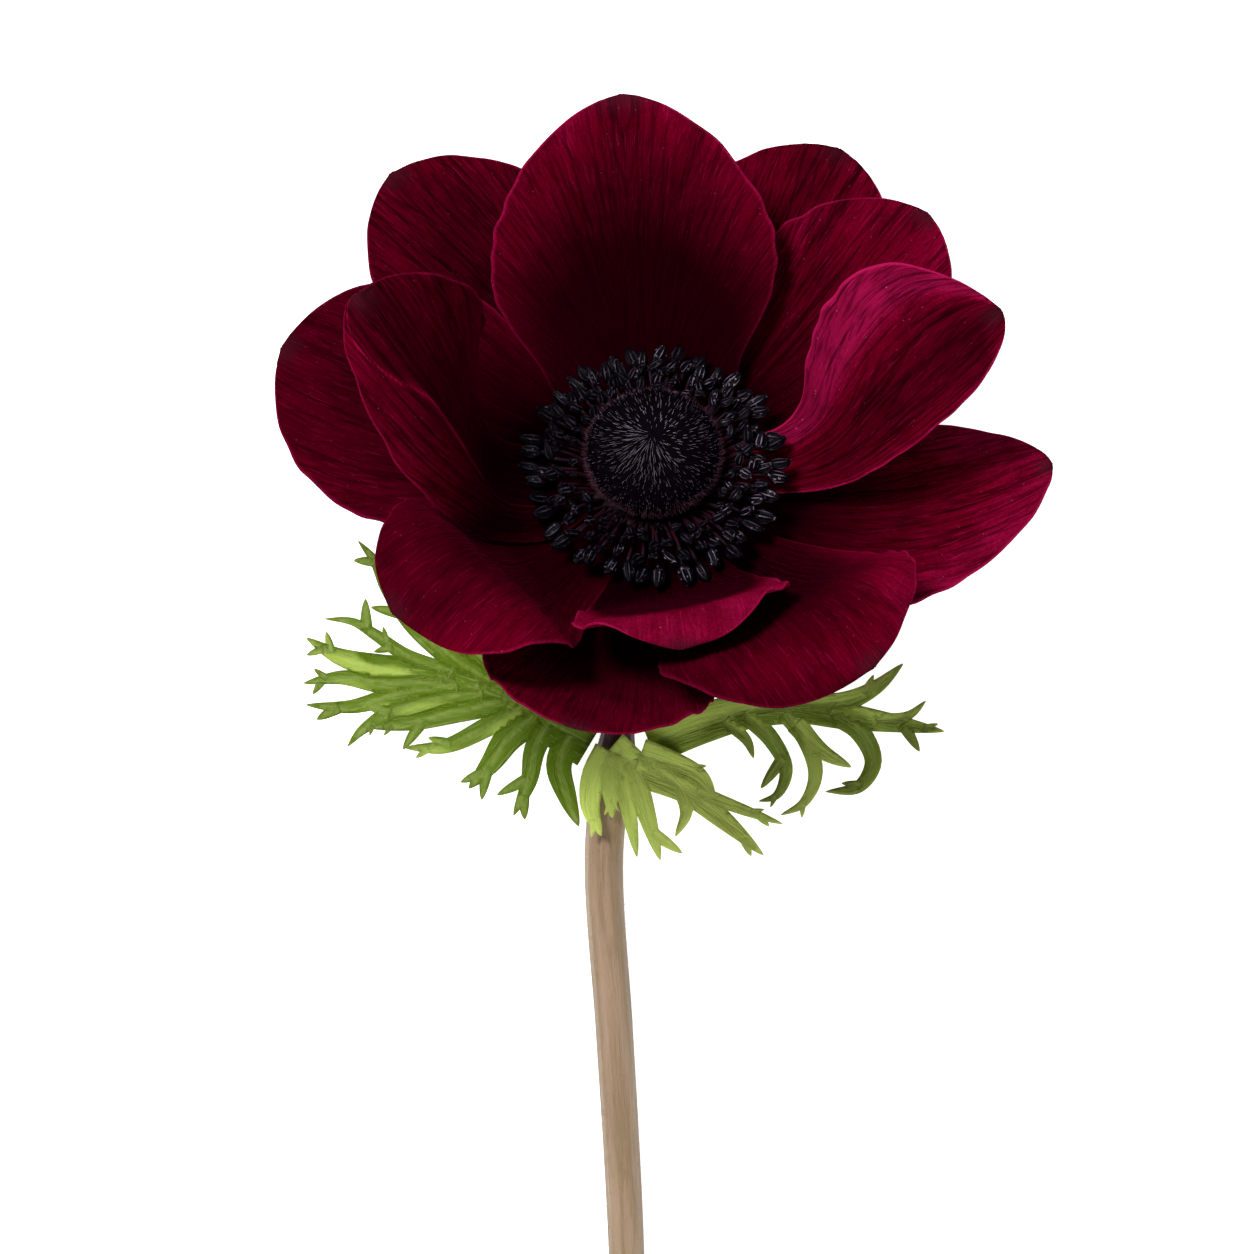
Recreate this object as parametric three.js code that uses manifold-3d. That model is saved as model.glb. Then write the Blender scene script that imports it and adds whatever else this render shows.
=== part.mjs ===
// Anemone flower: one cut bloom on a short stem, lying on its back on a surface.
// Twelve tepals in two loose whorls round a ring of stamens and a domed pistil head, a bent
// flower stalk, three cut involucral leaves and the stem. Millimetres, +Z up, the stem along -Y.

import * as THREE from 'three';
import Module from 'manifold-3d';

const wasm = await Module();
wasm.setup();

// Driving dimensions, in millimetres and degrees

const BLOOM_CENTRE = [-0.7, 38.0, 23.0];   // middle of the bloom over the floor
const BLOOM_TILT = 25;                     // the bloom leans back from straight up

const TEPAL_THICKNESS = 0.7;
const TEPAL_ROWS = 14;
const TEPAL_COLUMNS = 9;
const TEPAL_TIP = 0.5;                     // half width of the blunt end
const ROW_CROWDING = 0.55;                 // how much closer the rows stand towards the tip
const MIDRIB_STEPS = 120;
const SECTION_STEPS = 40;
const TURN_FROM = 0.15;                    // a midrib keeps its heading up to here
const ROLL_BY = 0.55;                      // a tepal's roll is complete here
const FOLD_ROUNDING = 0.3;                 // how gently a crease comes in, along and across

// Receptacle: [height along the bloom's axis, radius] from its foot up
const RECEPTACLE = [[-5.5, 2.1], [-4.7, 3.4], [-3.3, 4.2], [0.4, 4.2], [2.55, 3.6]];
const RECEPTACLE_SIDES = 16;

// Pistil head: a round dome, its skin raised by a bump at every other place
const DOME = { radius: 7.5, foot: 1.5, top: 10.6, opening: 0.2, around: 40, rows: 14, bump: 0.32 };

// Stamens: rows round the pistil head, each with its count, reach and height at the anther's
// middle, and length of anther. root is where a filament leaves the core ring, rise how much
// the far end of an anther stands higher, and the spreads are how far each stamen may differ.
const STAMEN_CORE = { inner: 4.5, outer: 8.2, low: 0.8, high: 1.9, sides: 24 };
const STAMEN_ROWS = [
  { count: 27, reach: 14.2, height: 2.6, anther: 2.7 },
  { count: 22, reach: 12.1, height: 3.7, anther: 2.5 },
  { count: 17, reach: 10.3, height: 5.0, anther: 2.1 },
];
const STAMEN = { root: 6.6, rootUp: 1.2, bow: 1.3, rise: 0.35, radius: 0.27, sides: 5, seed: 11 };
const STAMEN_SPREAD = { reach: 0.9, height: 0.7, turn: 0.05, swing: 0.06 };
// An anther's outline: [part of its length, radius]
const ANTHER_PROFILE = [[0.06, 0.51], [0.45, 0.7], [0.7, 0.65], [1, 0.22]];

// Stalk and stem: the whorl is where the leaves join, given with the stem's path from the point
// on the floor under the bloom's centre; the whorl's third number is its height over the floor
const WHORL = [-4.4, -33.1, 4.7];
const STALK = { top: 2.3, whorl: 1.9, below: 7, bend: [1.2, 13, 0.6], steps: 16 };
const STEM = { whorl: 2.35, cut: 2.05, swelling: 0.35, swellingEnd: 0.06, fall: 1.6, steps: 18 };
const STEM_PATH = [[-5.8, -45.1], [-4.6, -65.6], [-3.6, -82.2], [-3.1, -92.9], [-2.2, -121.0]];
const STEM_SIDES = 12;

const LEAF_THICKNESS = 0.8;
const LEAF_SPACING = 2.4;                  // between points along a leaf's margin
const LEAF_TRIM = 0.08;                    // corners flatter than this are left out
const LEAF_FACET = 5;                      // longest side of a leaf's triangles
const LEAF_WAVE = { height: 0.45, x: 0.55, shift: 0.3, y: 0.5, from: 4.8, over: 8 };
const LEAF_DROP_FROM = 2.5;                // a leaf over the stem falls away from here on
const RIB_TAPER = 0.4;                     // how much narrower a rib's blade is at its far end
const TOOTH = { width: 0.34, greatest: 0.8 };   // half width: part of the length, and its limit

// What most tepals share. slope0 and slope1 are the climb of the midrib above the bloom's plane,
// reached between the fractions climb0 and climb1 of its length; turn is how far its heading
// swings; lip is how far the end bends down again, from the fraction lip0; half is the greatest
// half width, at the fraction widest; cup is half of the arc of a cross-section, at foot and tip;
// roll tilts the cross-section; crease folds the right half of the blade outwards from the fraction
// creaseFrom of the length on, along a line from fold0 of the half's width to fold1 at the tip.

const TEPAL = {
  root: 4.55, foot: -1.9, turn: 0, slope0: 5, slope1: 45, climb0: 0.12, climb1: 0.6,
  lip: 0, lip0: 0.6, half: 15, left: 1, right: 1, widest: 0.6, claw: 1.9, flare: 1.2,
  round: 2.2, blunt: 0.55, cup0: 20, cup1: 10, roll0: 0, roll1: 0, crease: 0,
  creaseFrom: 0.3, fold0: 0, fold1: 0, wave: 0.3, waves: 2.5,
};

const TEPALS = {
  tepal_top: { heading: 95, length: 43, half: 17.2, slope0: 5, slope1: 44, climb1: 0.85,
    cup0: 28, cup1: 15, widest: 0.53, round: 1.85, blunt: 0.6, flare: 1.0 },
  tepal_right_inner: { heading: 1, turn: 31, length: 47.4, half: 14, slope0: 2, slope1: 60,
    climb1: 0.5, lip: -22, lip0: 0.5, cup0: 30, cup1: 12, roll0: 4, roll1: 18, widest: 0.77,
    round: 2.2, blunt: 0.62, flare: 1.5, left: 0.33, right: 1.04 },
  tepal_front_right: { heading: -50, length: 39, half: 14.5, slope0: 0, slope1: 58,
    climb1: 0.6, lip: -86, cup0: 5, cup1: -5, roll0: 5, roll1: -10, widest: 0.7,
    flare: 1.5, left: 1.28, right: 0.9 },
  tepal_front: { heading: 276, foot: -0.8, length: 33, half: 13, left: 0.88, slope0: 1.5,
    slope1: 60, climb1: 0.53, lip: -125, lip0: 0.82, cup0: 15, cup1: 0, roll0: 5, roll1: 5,
    widest: 0.7, round: 1.7, blunt: 0.7 },
  tepal_front_left: { heading: 219, length: 43, half: 15, slope0: 0, slope1: 70, climb1: 0.55,
    lip: -115, cup0: 4, cup1: -8, roll1: 5, widest: 0.68, flare: 1.3, left: 0.66, right: 1.0 },
  tepal_left_inner: { heading: 196, turn: -57, foot: -0.8, length: 55.5, half: 13.5, right: 0.62,
    slope0: 3, slope1: 77, climb0: 0.07, climb1: 0.37, lip: -30, lip0: 0.5, cup0: 20, cup1: 20,
    roll1: 12, crease: -78, creaseFrom: 0, fold0: 0.4, fold1: 0.05 },
  tepal_right_upper: { heading: 45, foot: -2.9, length: 42.5, half: 12.5, slope0: 2, slope1: 20,
    climb1: 1, cup0: 15, cup1: 10, blunt: 0.6 },
  tepal_back_right: { heading: 64, foot: -3.9, length: 47.5, half: 13.2, left: 0.92, slope0: -2,
    slope1: 2, climb1: 1, cup0: 8, cup1: 5 },
  tepal_back_left: { heading: 121, turn: 13, foot: -3.9, length: 49.5, half: 13.8, slope0: -2,
    slope1: 1.4, climb1: 1, cup0: 8, cup1: 5, round: 2, blunt: 0.6 },
  tepal_left_outer: { heading: 160, foot: -2.9, length: 42, half: 15, right: 1.12, slope0: 3,
    slope1: 12, climb1: 1, cup0: 15, cup1: 10, blunt: 0.6 },
  tepal_front_outer: { heading: 257, foot: -3.9, length: 39, half: 13.2, slope0: -2, slope1: 44,
    climb1: 0.7, cup0: 15, cup1: 5 },
  tepal_right_outer: { heading: -8, turn: 20, foot: -3.9, length: 43, half: 12.6, left: 1.12,
    right: 1.0, slope0: -2, slope1: 26, climb1: 1, cup0: 10, cup1: 10, flare: 1.3, widest: 0.46,
    round: 1.2, blunt: 0.55 },
};

// The three involucral leaves, in millimetres from the whorl. A leaf is a main rib and lobes that
// leave it, each a path with its greatest half width, and on those stand short teeth:
// [fraction of the rib, side, length, angle from the rib].

const LEAVES = {
  involucral_leaf_left: {
    base: 4.9, arch: 3.4, span: 40, drop: 0,
    ribs: [
      { path: [[-3.1, 1.4], [-6.6, 3.5], [-13.8, 7.6], [-21, 9.6], [-28.2, 10.7], [-33.6, 12.2],
        [-37.4, 14.3]], half: 2.9, teeth: [[0.9, 'right', 1.8, 50], [0.93, 'left', 1.6, 50]] },
      { path: [[-15, 9], [-19.8, 12.2], [-24.4, 16.2], [-27.4, 20.4], [-29, 23.6], [-31, 26]],
        half: 1.6, teeth: [[0.55, 'left', 3.2, 40], [0.86, 'left', 2, 55], [0.62, 'right', 1.6, 35]] },
      { path: [[-12, 8], [-14.8, 10.7], [-18.4, 14], [-21.5, 17.4]], half: 2,
        teeth: [[0.7, 'left', 2.6, 40]] },
      { path: [[-19.8, 10.2], [-25.2, 12.2], [-28.8, 14.6], [-31.6, 16.2], [-35.2, 16.6]], half: 1,
        teeth: [[0.68, 'right', 3, 55], [0.5, 'right', 1.2, 40], [0.45, 'left', 1.6, 50]] },
      { path: [[-21, 9.2], [-27.6, 8.8], [-33, 9.5], [-37.7, 8.8]], half: 1.5,
        teeth: [[0.82, 'right', 1.4, 45], [0.85, 'left', 1.6, 45]] },
      { path: [[-19.2, 8.8], [-25.8, 7.6], [-31.8, 6], [-37.4, 6.2]], half: 1.4,
        teeth: [[0.78, 'left', 2.4, 30]] },
      { path: [[-16.2, 7.8], [-22.2, 6.8], [-27.2, 5.2], [-30.4, 3.2], [-32.2, 1.2]], half: 1.5,
        teeth: [[0.62, 'right', 2.6, 40], [0.75, 'left', 1, 40]] },
      { path: [[-13.2, 6.8], [-19.2, 5.4], [-24, 4.2], [-29.2, 3.4]], half: 1.6,
        teeth: [[0.62, 'left', 3.2, 42], [0.85, 'left', 1, 40]] },
      { path: [[-11.4, 5.9], [-15.6, 3.5], [-20.4, 1.3], [-25.3, 1.1]], half: 1.4,
        teeth: [[0.62, 'right', 2, 35], [0.8, 'left', 1.4, 35]] },
      { path: [[-9.6, 5], [-12.8, 2.3], [-15, -0.8], [-17.6, -3.8]], half: 2,
        teeth: [[0.78, 'right', 2, 25], [0.72, 'left', 2.8, 30]] },
      { path: [[-8, 4.4], [-9.7, 0.8], [-10.4, -3], [-12.2, -7]], half: 1.5,
        teeth: [[0.78, 'left', 2.2, 28], [0.6, 'right', 3.4, 50]] },
      { path: [[-5.4, 2.6], [-6.8, -1], [-5.8, -4.8], [-4.4, -8.4]], half: 1.8, teeth: [] },
    ],
  },
  involucral_leaf_front: {
    base: 8.1, arch: 0.3, span: 16, drop: 0.24,
    ribs: [
      { path: [[-0.4, 1.3], [3, -1.6], [8.4, -4], [13.2, -7.8], [17.9, -12]], half: 2,
        teeth: [[0.85, 'right', 1.8, 25]] },
      { path: [[10.2, -4.4], [15, -6.3], [20.2, -8.2]], half: 0.9,
        teeth: [[0.7, 'right', 1.4, 25], [0.6, 'left', 1.2, 30]] },
      { path: [[3, 0.3], [7.1, -1.1], [10, -2.4], [12, -4.6]], half: 2,
        teeth: [[0.5, 'left', 1.5, 26]] },
      { path: [[0.4, 0.2], [1.4, -5.2], [2.6, -12]], half: 1.3, teeth: [] },
      { path: [[1.8, -0.4], [3.6, -6.4], [5.4, -12.4]], half: 1.5, teeth: [[0.72, 'left', 3.6, 38]] },
      { path: [[4.2, -1], [7.8, -4], [8.5, -6.6], [7.2, -9.6]], half: 1.3, teeth: [] },
      { path: [[-0.8, 0.8], [-2.5, -2.2], [-3, -5.8], [-1.7, -9.4]], half: 1.8,
        teeth: [[0.8, 'right', 1.4, 30]] },
      { path: [[-0.4, 0.6], [-0.6, -3.4], [-0.4, -7.3]], half: 1.5,
        teeth: [[0.75, 'right', 1, 30], [0.7, 'left', 1, 30]] },
    ],
  },
  involucral_leaf_right: {
    base: 4.9, arch: 2.2, span: 42, drop: 0,
    ribs: [
      { path: [[4.1, 1.5], [10.2, 3.9], [16.2, 5.6], [22.2, 5.9], [27.6, 4.9], [33.6, 4], [39.7, 3]],
        half: 2.6, teeth: [[0.86, 'right', 2.8, 50], [0.93, 'left', 1.2, 25]] },
      { path: [[21, 6.4], [27, 6.5], [31.2, 8.3], [34.6, 11.2]], half: 1.5,
        teeth: [[0.6, 'left', 1.6, 35]] },
      { path: [[31.2, 4.4], [35.2, 4.9], [37.4, 6.7]], half: 0.8, teeth: [] },
      { path: [[25.8, 5.4], [29.2, 3.2], [31, -0.6], [29.2, -3.6], [25.2, -4.2]], half: 1.4,
        teeth: [[0.72, 'right', 1.6, 45]] },
      { path: [[21.6, 4], [24.6, 0.8], [28.4, -1.3]], half: 1.3, teeth: [] },
      { path: [[20.4, 5.4], [22.9, 2], [24, -2.2], [22.6, -5.5], [19.8, -7]], half: 1.2,
        teeth: [[0.8, 'left', 1.2, 40]] },
      { path: [[15.6, 5.2], [18.8, 2], [20.5, -1.6], [19.4, -4.6], [17.2, -5.4]], half: 1.2,
        teeth: [[0.5, 'right', 3.6, 60], [0.85, 'left', 1, 30]] },
      { path: [[13.2, 4.4], [15.8, 1.9], [16.6, -0.2]], half: 0.9, teeth: [] },
    ],
  },
};

// Small helpers

const radians = THREE.MathUtils.degToRad;

function smooth(value) {
  const x = Math.min(Math.max(value, 0), 1);
  return x * x * (3 - 2 * x);
}

function randomFrom(seed) {
  let state = seed;
  return () => {
    state = (state * 1664525 + 1013904223) % 4294967296;
    return state / 4294967296;
  };
}

// A point of the bloom, given across, along and up its own tilted axis

function bloomPoint(across, along, up) {
  const c = Math.cos(radians(BLOOM_TILT));
  const s = Math.sin(radians(BLOOM_TILT));
  return new THREE.Vector3(
    BLOOM_CENTRE[0] + across,
    BLOOM_CENTRE[1] + along * c + up * s,
    BLOOM_CENTRE[2] - along * s + up * c,
  );
}

function geometryFrom(points, triangles) {
  const geometry = new THREE.BufferGeometry();
  geometry.setAttribute('position', new THREE.Float32BufferAttribute(points.flat(), 3));
  geometry.setIndex(triangles.flat());
  geometry.computeVertexNormals();
  return geometry;
}

function toSolid(points, triangles) {
  return new wasm.Manifold(new wasm.Mesh({
    numProp: 3,
    vertProperties: new Float32Array(points.flat()),
    triVerts: new Uint32Array(triangles.flat()),
  }));
}

function fromSolid(solid) {
  const mesh = solid.getMesh();
  const geometry = new THREE.BufferGeometry();
  geometry.setAttribute('position', new THREE.BufferAttribute(mesh.vertProperties.slice(), 3));
  geometry.setIndex(new THREE.BufferAttribute(mesh.triVerts.slice(), 1));
  geometry.computeVertexNormals();
  return geometry;
}

// Rings of points joined into one closed skin, with a fan at each end

function skinRings(rings) {
  const sides = rings[0].length;
  const points = rings.flat();
  const triangles = [];
  for (let ring = 0; ring < rings.length - 1; ring += 1) {
    for (let side = 0; side < sides; side += 1) {
      const a = ring * sides + side;
      const b = ring * sides + ((side + 1) % sides);
      triangles.push([a, b, b + sides], [a, b + sides, a + sides]);
    }
  }
  const centre = (ring) => [0, 1, 2].map((k) => ring.reduce((sum, p) => sum + p[k], 0) / sides);
  const first = points.push(centre(rings[0])) - 1;
  const last = points.push(centre(rings.at(-1))) - 1;
  const top = (rings.length - 1) * sides;
  for (let side = 0; side < sides; side += 1) {
    const next = (side + 1) % sides;
    triangles.push([first, next, side], [last, top + side, top + next]);
  }
  return [points, triangles];
}

// A ring of points at a height on the bloom's own axis

function bloomRing(radius, up, sides) {
  return Array.from({ length: sides }, (_, k) => {
    const turn = (k / sides) * 2 * Math.PI;
    return bloomPoint(radius * Math.cos(turn), radius * Math.sin(turn), up).toArray();
  });
}

// A round tube along a curve, from a profile of [fraction of the length, radius]

function tubeRings(curve, profile, sides) {
  const start = curve.getTangentAt(0);
  const steep = Math.abs(start.z) > 0.9;
  const reference = new THREE.Vector3(0, steep ? 1 : 0, steep ? 0 : 1);
  let across = new THREE.Vector3().crossVectors(reference, start).normalize();
  return profile.map(([fraction, radius]) => {
    const centre = curve.getPointAt(fraction);
    const tangent = curve.getTangentAt(fraction);
    across = across.clone().addScaledVector(tangent, -across.dot(tangent)).normalize();
    const up = new THREE.Vector3().crossVectors(tangent, across);
    return Array.from({ length: sides }, (_, side) => {
      const angle = (side / sides) * 2 * Math.PI;
      return centre.clone()
        .addScaledVector(across, radius * Math.cos(angle))
        .addScaledVector(up, radius * Math.sin(angle))
        .toArray();
    });
  });
}

// Tepals

// The half width of a blade: it opens from the claw as a sine raised to the power flare, up to
// the widest place, then closes as (1 - x^round)^blunt to the tip.

function halfWidth(tepal, s) {
  if (s < tepal.widest) {
    const claw = tepal.claw / tepal.half;
    const open = Math.sin((Math.PI / 2) * (s / tepal.widest)) ** tepal.flare;
    return tepal.half * (claw + (1 - claw) * open);
  }
  const x = (s - tepal.widest) / (1 - tepal.widest);
  const closing = Math.max(1 - x ** tepal.round, 0) ** tepal.blunt;
  return Math.max(tepal.half * closing, TEPAL_TIP);
}

// The midrib's slope and heading at the fraction s, in radians

function slopeAt(tepal, s) {
  const climb = smooth((s - tepal.climb0) / (tepal.climb1 - tepal.climb0));
  const lip = smooth((s - tepal.lip0) / (1 - tepal.lip0));
  return radians(tepal.slope0 + (tepal.slope1 - tepal.slope0) * climb + tepal.lip * lip);
}

function headingAt(tepal, s) {
  return radians(tepal.heading + tepal.turn * smooth((s - TURN_FROM) / (1 - TURN_FROM)));
}

// The midrib is summed up in short steps along its slope and heading, so its length is kept.
// At each step the tangent, the sideways direction and the normal, both rolled, are known.

function midribFrame(tepal, s) {
  const slope = slopeAt(tepal, s);
  const heading = headingAt(tepal, s);
  const out = new THREE.Vector3(Math.cos(heading), Math.sin(heading), 0);
  const side = new THREE.Vector3(-Math.sin(heading), Math.cos(heading), 0);
  const up = new THREE.Vector3(0, 0, 1);
  const tangent = out.clone().multiplyScalar(Math.cos(slope)).addScaledVector(up, Math.sin(slope));
  const normal = out.clone().multiplyScalar(-Math.sin(slope)).addScaledVector(up, Math.cos(slope));
  const roll = radians(tepal.roll0 + (tepal.roll1 - tepal.roll0) * smooth(s / ROLL_BY));
  return {
    tangent,
    side: side.clone().multiplyScalar(Math.cos(roll)).addScaledVector(normal, Math.sin(roll)),
    normal: normal.clone().multiplyScalar(Math.cos(roll)).addScaledVector(side, -Math.sin(roll)),
  };
}

function midribPoint(tepal, s, steps = MIDRIB_STEPS) {
  const heading = radians(tepal.heading);
  const point = new THREE.Vector3(
    tepal.root * Math.cos(heading), tepal.root * Math.sin(heading), tepal.foot);
  for (let k = 0; k < steps; k += 1) {
    const { tangent } = midribFrame(tepal, (s * (k + 0.5)) / steps);
    point.addScaledVector(tangent, (tepal.length * s) / steps);
  }
  return point;
}

// A cross-section is summed up the same way from the midrib outwards: its direction turns by
// cup times t, and by the crease on the right half, so the blade is bent and not stretched.

function crossSection(tepal, s, t, steps = SECTION_STEPS) {
  const cup = radians(tepal.cup0 + (tepal.cup1 - tepal.cup0) * s);
  const crease = radians(tepal.crease) * smooth((s - tepal.creaseFrom) / FOLD_ROUNDING);
  const folded = tepal.fold0 + (tepal.fold1 - tepal.fold0) * s;
  let across = 0;
  let lift = 0;
  for (let k = 0; k < steps; k += 1) {
    const part = (t * (k + 0.5)) / steps;
    const turn = cup * part + crease * smooth((part - folded) / FOLD_ROUNDING);
    across += (t / steps) * Math.cos(turn);
    lift += (t / steps) * Math.sin(turn);
  }
  const width = halfWidth(tepal, s) * (t < 0 ? tepal.left : tepal.right);
  const wave = tepal.wave * smooth(s) * t * t
    * Math.sin(2 * Math.PI * (tepal.waves * s + (t < 0 ? 0 : 0.25)));
  return [across * width, lift * width + wave];
}

// The blade as a grid of points in the bloom's frame, rows closer together towards the tip

function tepalGrid(tepal) {
  const rows = [];
  for (let row = 0; row < TEPAL_ROWS; row += 1) {
    const u = row / (TEPAL_ROWS - 1);
    const s = ROW_CROWDING * Math.sin((Math.PI / 2) * u) + (1 - ROW_CROWDING) * u;
    const centre = midribPoint(tepal, s);
    const { side, normal } = midribFrame(tepal, s);
    const line = [];
    for (let column = 0; column < TEPAL_COLUMNS; column += 1) {
      const t = (2 * column) / (TEPAL_COLUMNS - 1) - 1;
      const [across, lift] = crossSection(tepal, s, t);
      const p = centre.clone().addScaledVector(side, across).addScaledVector(normal, lift);
      line.push(bloomPoint(p.x, p.y, p.z));
    }
    rows.push(line);
  }
  return rows;
}

// A thin closed blade from a grid: both faces lie half the thickness off the grid along its
// normals and are split alike, and a blade that would sink into the floor is laid flat on it.

function bladeGeometry(grid, thickness) {
  const rows = grid.length;
  const columns = grid[0].length;
  const upper = [];
  const lower = [];
  for (let i = 0; i < rows; i += 1) {
    for (let j = 0; j < columns; j += 1) {
      const along = grid[Math.min(i + 1, rows - 1)][j].clone().sub(grid[Math.max(i - 1, 0)][j]);
      const across = grid[i][Math.min(j + 1, columns - 1)].clone().sub(grid[i][Math.max(j - 1, 0)]);
      const normal = new THREE.Vector3().crossVectors(along, across).normalize();
      const top = grid[i][j].clone().addScaledVector(normal, thickness / 2);
      const bottom = grid[i][j].clone().addScaledVector(normal, -thickness / 2);
      top.z = Math.max(top.z, thickness);
      bottom.z = Math.max(bottom.z, 0);
      upper.push(top.toArray());
      lower.push(bottom.toArray());
    }
  }
  const count = rows * columns;
  const triangles = [];
  for (let i = 0; i < rows - 1; i += 1) {
    for (let j = 0; j < columns - 1; j += 1) {
      const a = i * columns + j;
      const b = a + 1;
      const c = a + columns;
      const d = c + 1;
      triangles.push([a, c, d], [a, d, b]);
      triangles.push([a + count, d + count, c + count], [a + count, b + count, d + count]);
    }
  }
  const rim = [];
  for (let j = 0; j < columns - 1; j += 1) rim.push(j);
  for (let i = 0; i < rows - 1; i += 1) rim.push(i * columns + columns - 1);
  for (let j = columns - 1; j > 0; j -= 1) rim.push((rows - 1) * columns + j);
  for (let i = rows - 1; i > 0; i -= 1) rim.push(i * columns);
  rim.forEach((a, k) => {
    const b = rim[(k + 1) % rim.length];
    triangles.push([a, b, b + count], [a, b + count, a + count]);
  });
  return geometryFrom([...upper, ...lower], triangles);
}

// Pistil head: a dome whose radius follows an ellipse, open at the foot by a part of its height,
// with a small bump on every other place of its skin

function domeGeometry() {
  const middle = (DOME.foot + DOME.top) / 2;
  const rise = (DOME.top - DOME.foot) / 2;
  const rings = [];
  for (let row = 1; row < DOME.rows; row += 1) {
    const angle = Math.PI * (DOME.opening + (1 - DOME.opening) * (row / DOME.rows));
    rings.push(Array.from({ length: DOME.around }, (_, k) => {
      const bump = (row + k) % 2 === 0 ? DOME.bump : 0;
      const radius = (DOME.radius + bump) * Math.sin(angle);
      const up = middle - rise * Math.cos(angle) + bump / 2;
      const turn = (k / DOME.around) * 2 * Math.PI;
      return bloomPoint(radius * Math.cos(turn), radius * Math.sin(turn), up).toArray();
    }));
  }
  return geometryFrom(...skinRings(rings));
}

// Stamens: thin filaments that bow out from a low ring and end in plump anthers, all one body

function stamenRings(angle, row, random) {
  const differ = (spread) => (random() - 0.5) * spread;
  const reach = row.reach + differ(STAMEN_SPREAD.reach);
  const height = row.height + differ(STAMEN_SPREAD.height);
  const turn = angle + differ(STAMEN_SPREAD.turn);
  const swing = differ(STAMEN_SPREAD.swing);
  const at = (distance, up, swung) => bloomPoint(
    distance * Math.cos(turn + swung), distance * Math.sin(turn + swung), up);
  const half = row.anther / 2;
  const curve = new THREE.CatmullRomCurve3([
    at(STAMEN.root, STAMEN.rootUp, 0),
    at((STAMEN.root + reach) / 2, height / 2 + STAMEN.bow, 0),
    at(reach - half, height, swing),
    at(reach + half, height + STAMEN.rise, swing),
  ]);
  const foot = 1 - row.anther / curve.getLength();
  return tubeRings(curve, [
    [0, STAMEN.radius], [foot / 2, STAMEN.radius], [foot, STAMEN.radius],
    ...ANTHER_PROFILE.map(([part, radius]) => [foot + (1 - foot) * part, radius]),
  ], STAMEN.sides);
}

function stamenCore() {
  const { inner, outer, low, high, sides } = STAMEN_CORE;
  const rings = [[inner, low], [outer, low], [outer, high], [inner, high]]
    .map(([radius, up]) => bloomRing(radius, up, sides));
  const triangles = [];
  for (let ring = 0; ring < rings.length; ring += 1) {
    const next = (ring + 1) % rings.length;
    for (let side = 0; side < sides; side += 1) {
      const beside = (side + 1) % sides;
      const a = ring * sides + side;
      const b = next * sides + side;
      const c = next * sides + beside;
      const d = ring * sides + beside;
      triangles.push([a, c, b], [a, d, c]);
    }
  }
  return toSolid(rings.flat(), triangles);
}

function stamensGeometry() {
  const solids = [stamenCore()];
  const random = randomFrom(STAMEN.seed);
  STAMEN_ROWS.forEach((row, index) => {
    for (let k = 0; k < row.count; k += 1) {
      const angle = ((k + index / STAMEN_ROWS.length) / row.count) * 2 * Math.PI;
      solids.push(toSolid(...skinRings(stamenRings(angle, row, random))));
    }
  });
  return fromSolid(wasm.Manifold.union(solids));
}

// What would sink into the floor is laid flat on it

function onTheFloor(rings) {
  return rings.map((ring) => ring.map(([x, y, z]) => [x, y, Math.max(z, 0)]));
}

// Stem, stalk and receptacle, one body

function stemGeometry() {
  const floorPoint = ([x, y], z) => new THREE.Vector3(BLOOM_CENTRE[0] + x, BLOOM_CENTRE[1] + y, z);
  const even = (steps, radiusAt) => Array.from(
    { length: steps + 1 }, (_, k) => [k / steps, radiusAt(k / steps)]);
  const foot = RECEPTACLE[0][0];
  const whorl = floorPoint(WHORL, WHORL[2]);
  const stalk = new THREE.CubicBezierCurve3(
    bloomPoint(0, 0, foot + 1), bloomPoint(0, 0, foot - STALK.below),
    whorl.clone().add(new THREE.Vector3(...STALK.bend)), whorl);
  const stalkRadius = (f) => STALK.top + (STALK.whorl - STALK.top) * f;
  const end = STEM_PATH.at(-1);
  const stem = new THREE.CatmullRomCurve3([
    whorl.clone().add(new THREE.Vector3(0, 1, 0)),
    ...STEM_PATH.map((p) => {
      const part = (p[1] - WHORL[1]) / (end[1] - WHORL[1]);
      return floorPoint(p, WHORL[2] + (STEM.cut - WHORL[2]) * smooth(part * STEM.fall));
    }),
  ]);
  const stemRadius = (f) => STEM.whorl + (STEM.cut - STEM.whorl) * f
    + STEM.swelling * Math.max(0, 1 - f / STEM.swellingEnd);
  const receptacle = RECEPTACLE.map(([up, radius]) => bloomRing(radius, up, RECEPTACLE_SIDES));
  return fromSolid(wasm.Manifold.union([
    toSolid(...skinRings(receptacle)),
    toSolid(...skinRings(tubeRings(stalk, even(STALK.steps, stalkRadius), STEM_SIDES))),
    toSolid(...skinRings(onTheFloor(tubeRings(stem, even(STEM.steps, stemRadius), STEM_SIDES)))),
  ]));
}

// Involucral leaves

function ribCurve(path) {
  const points = path.map(([x, y]) => new THREE.Vector3(x, y, 0));
  return new THREE.CatmullRomCurve3(points, false, 'centripetal');
}

// A point on the margin of a rib, to its left or right hand

function marginPoint(curve, fraction, halfWidthHere, hand) {
  const point = curve.getPointAt(fraction);
  const tangent = curve.getTangentAt(fraction);
  const turn = hand === 'left' ? 1 : -1;
  return [point.x - tangent.y * turn * halfWidthHere, point.y + tangent.x * turn * halfWidthHere];
}

// A rib's blade narrows evenly to its tip and closes round it

const ribHalf = (rib, fraction) => rib.half * (1 - RIB_TAPER * fraction)
  * (1 - fraction ** 4) ** 0.7;

// A tooth is a short rib that leaves the middle of its lobe at an angle

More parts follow.
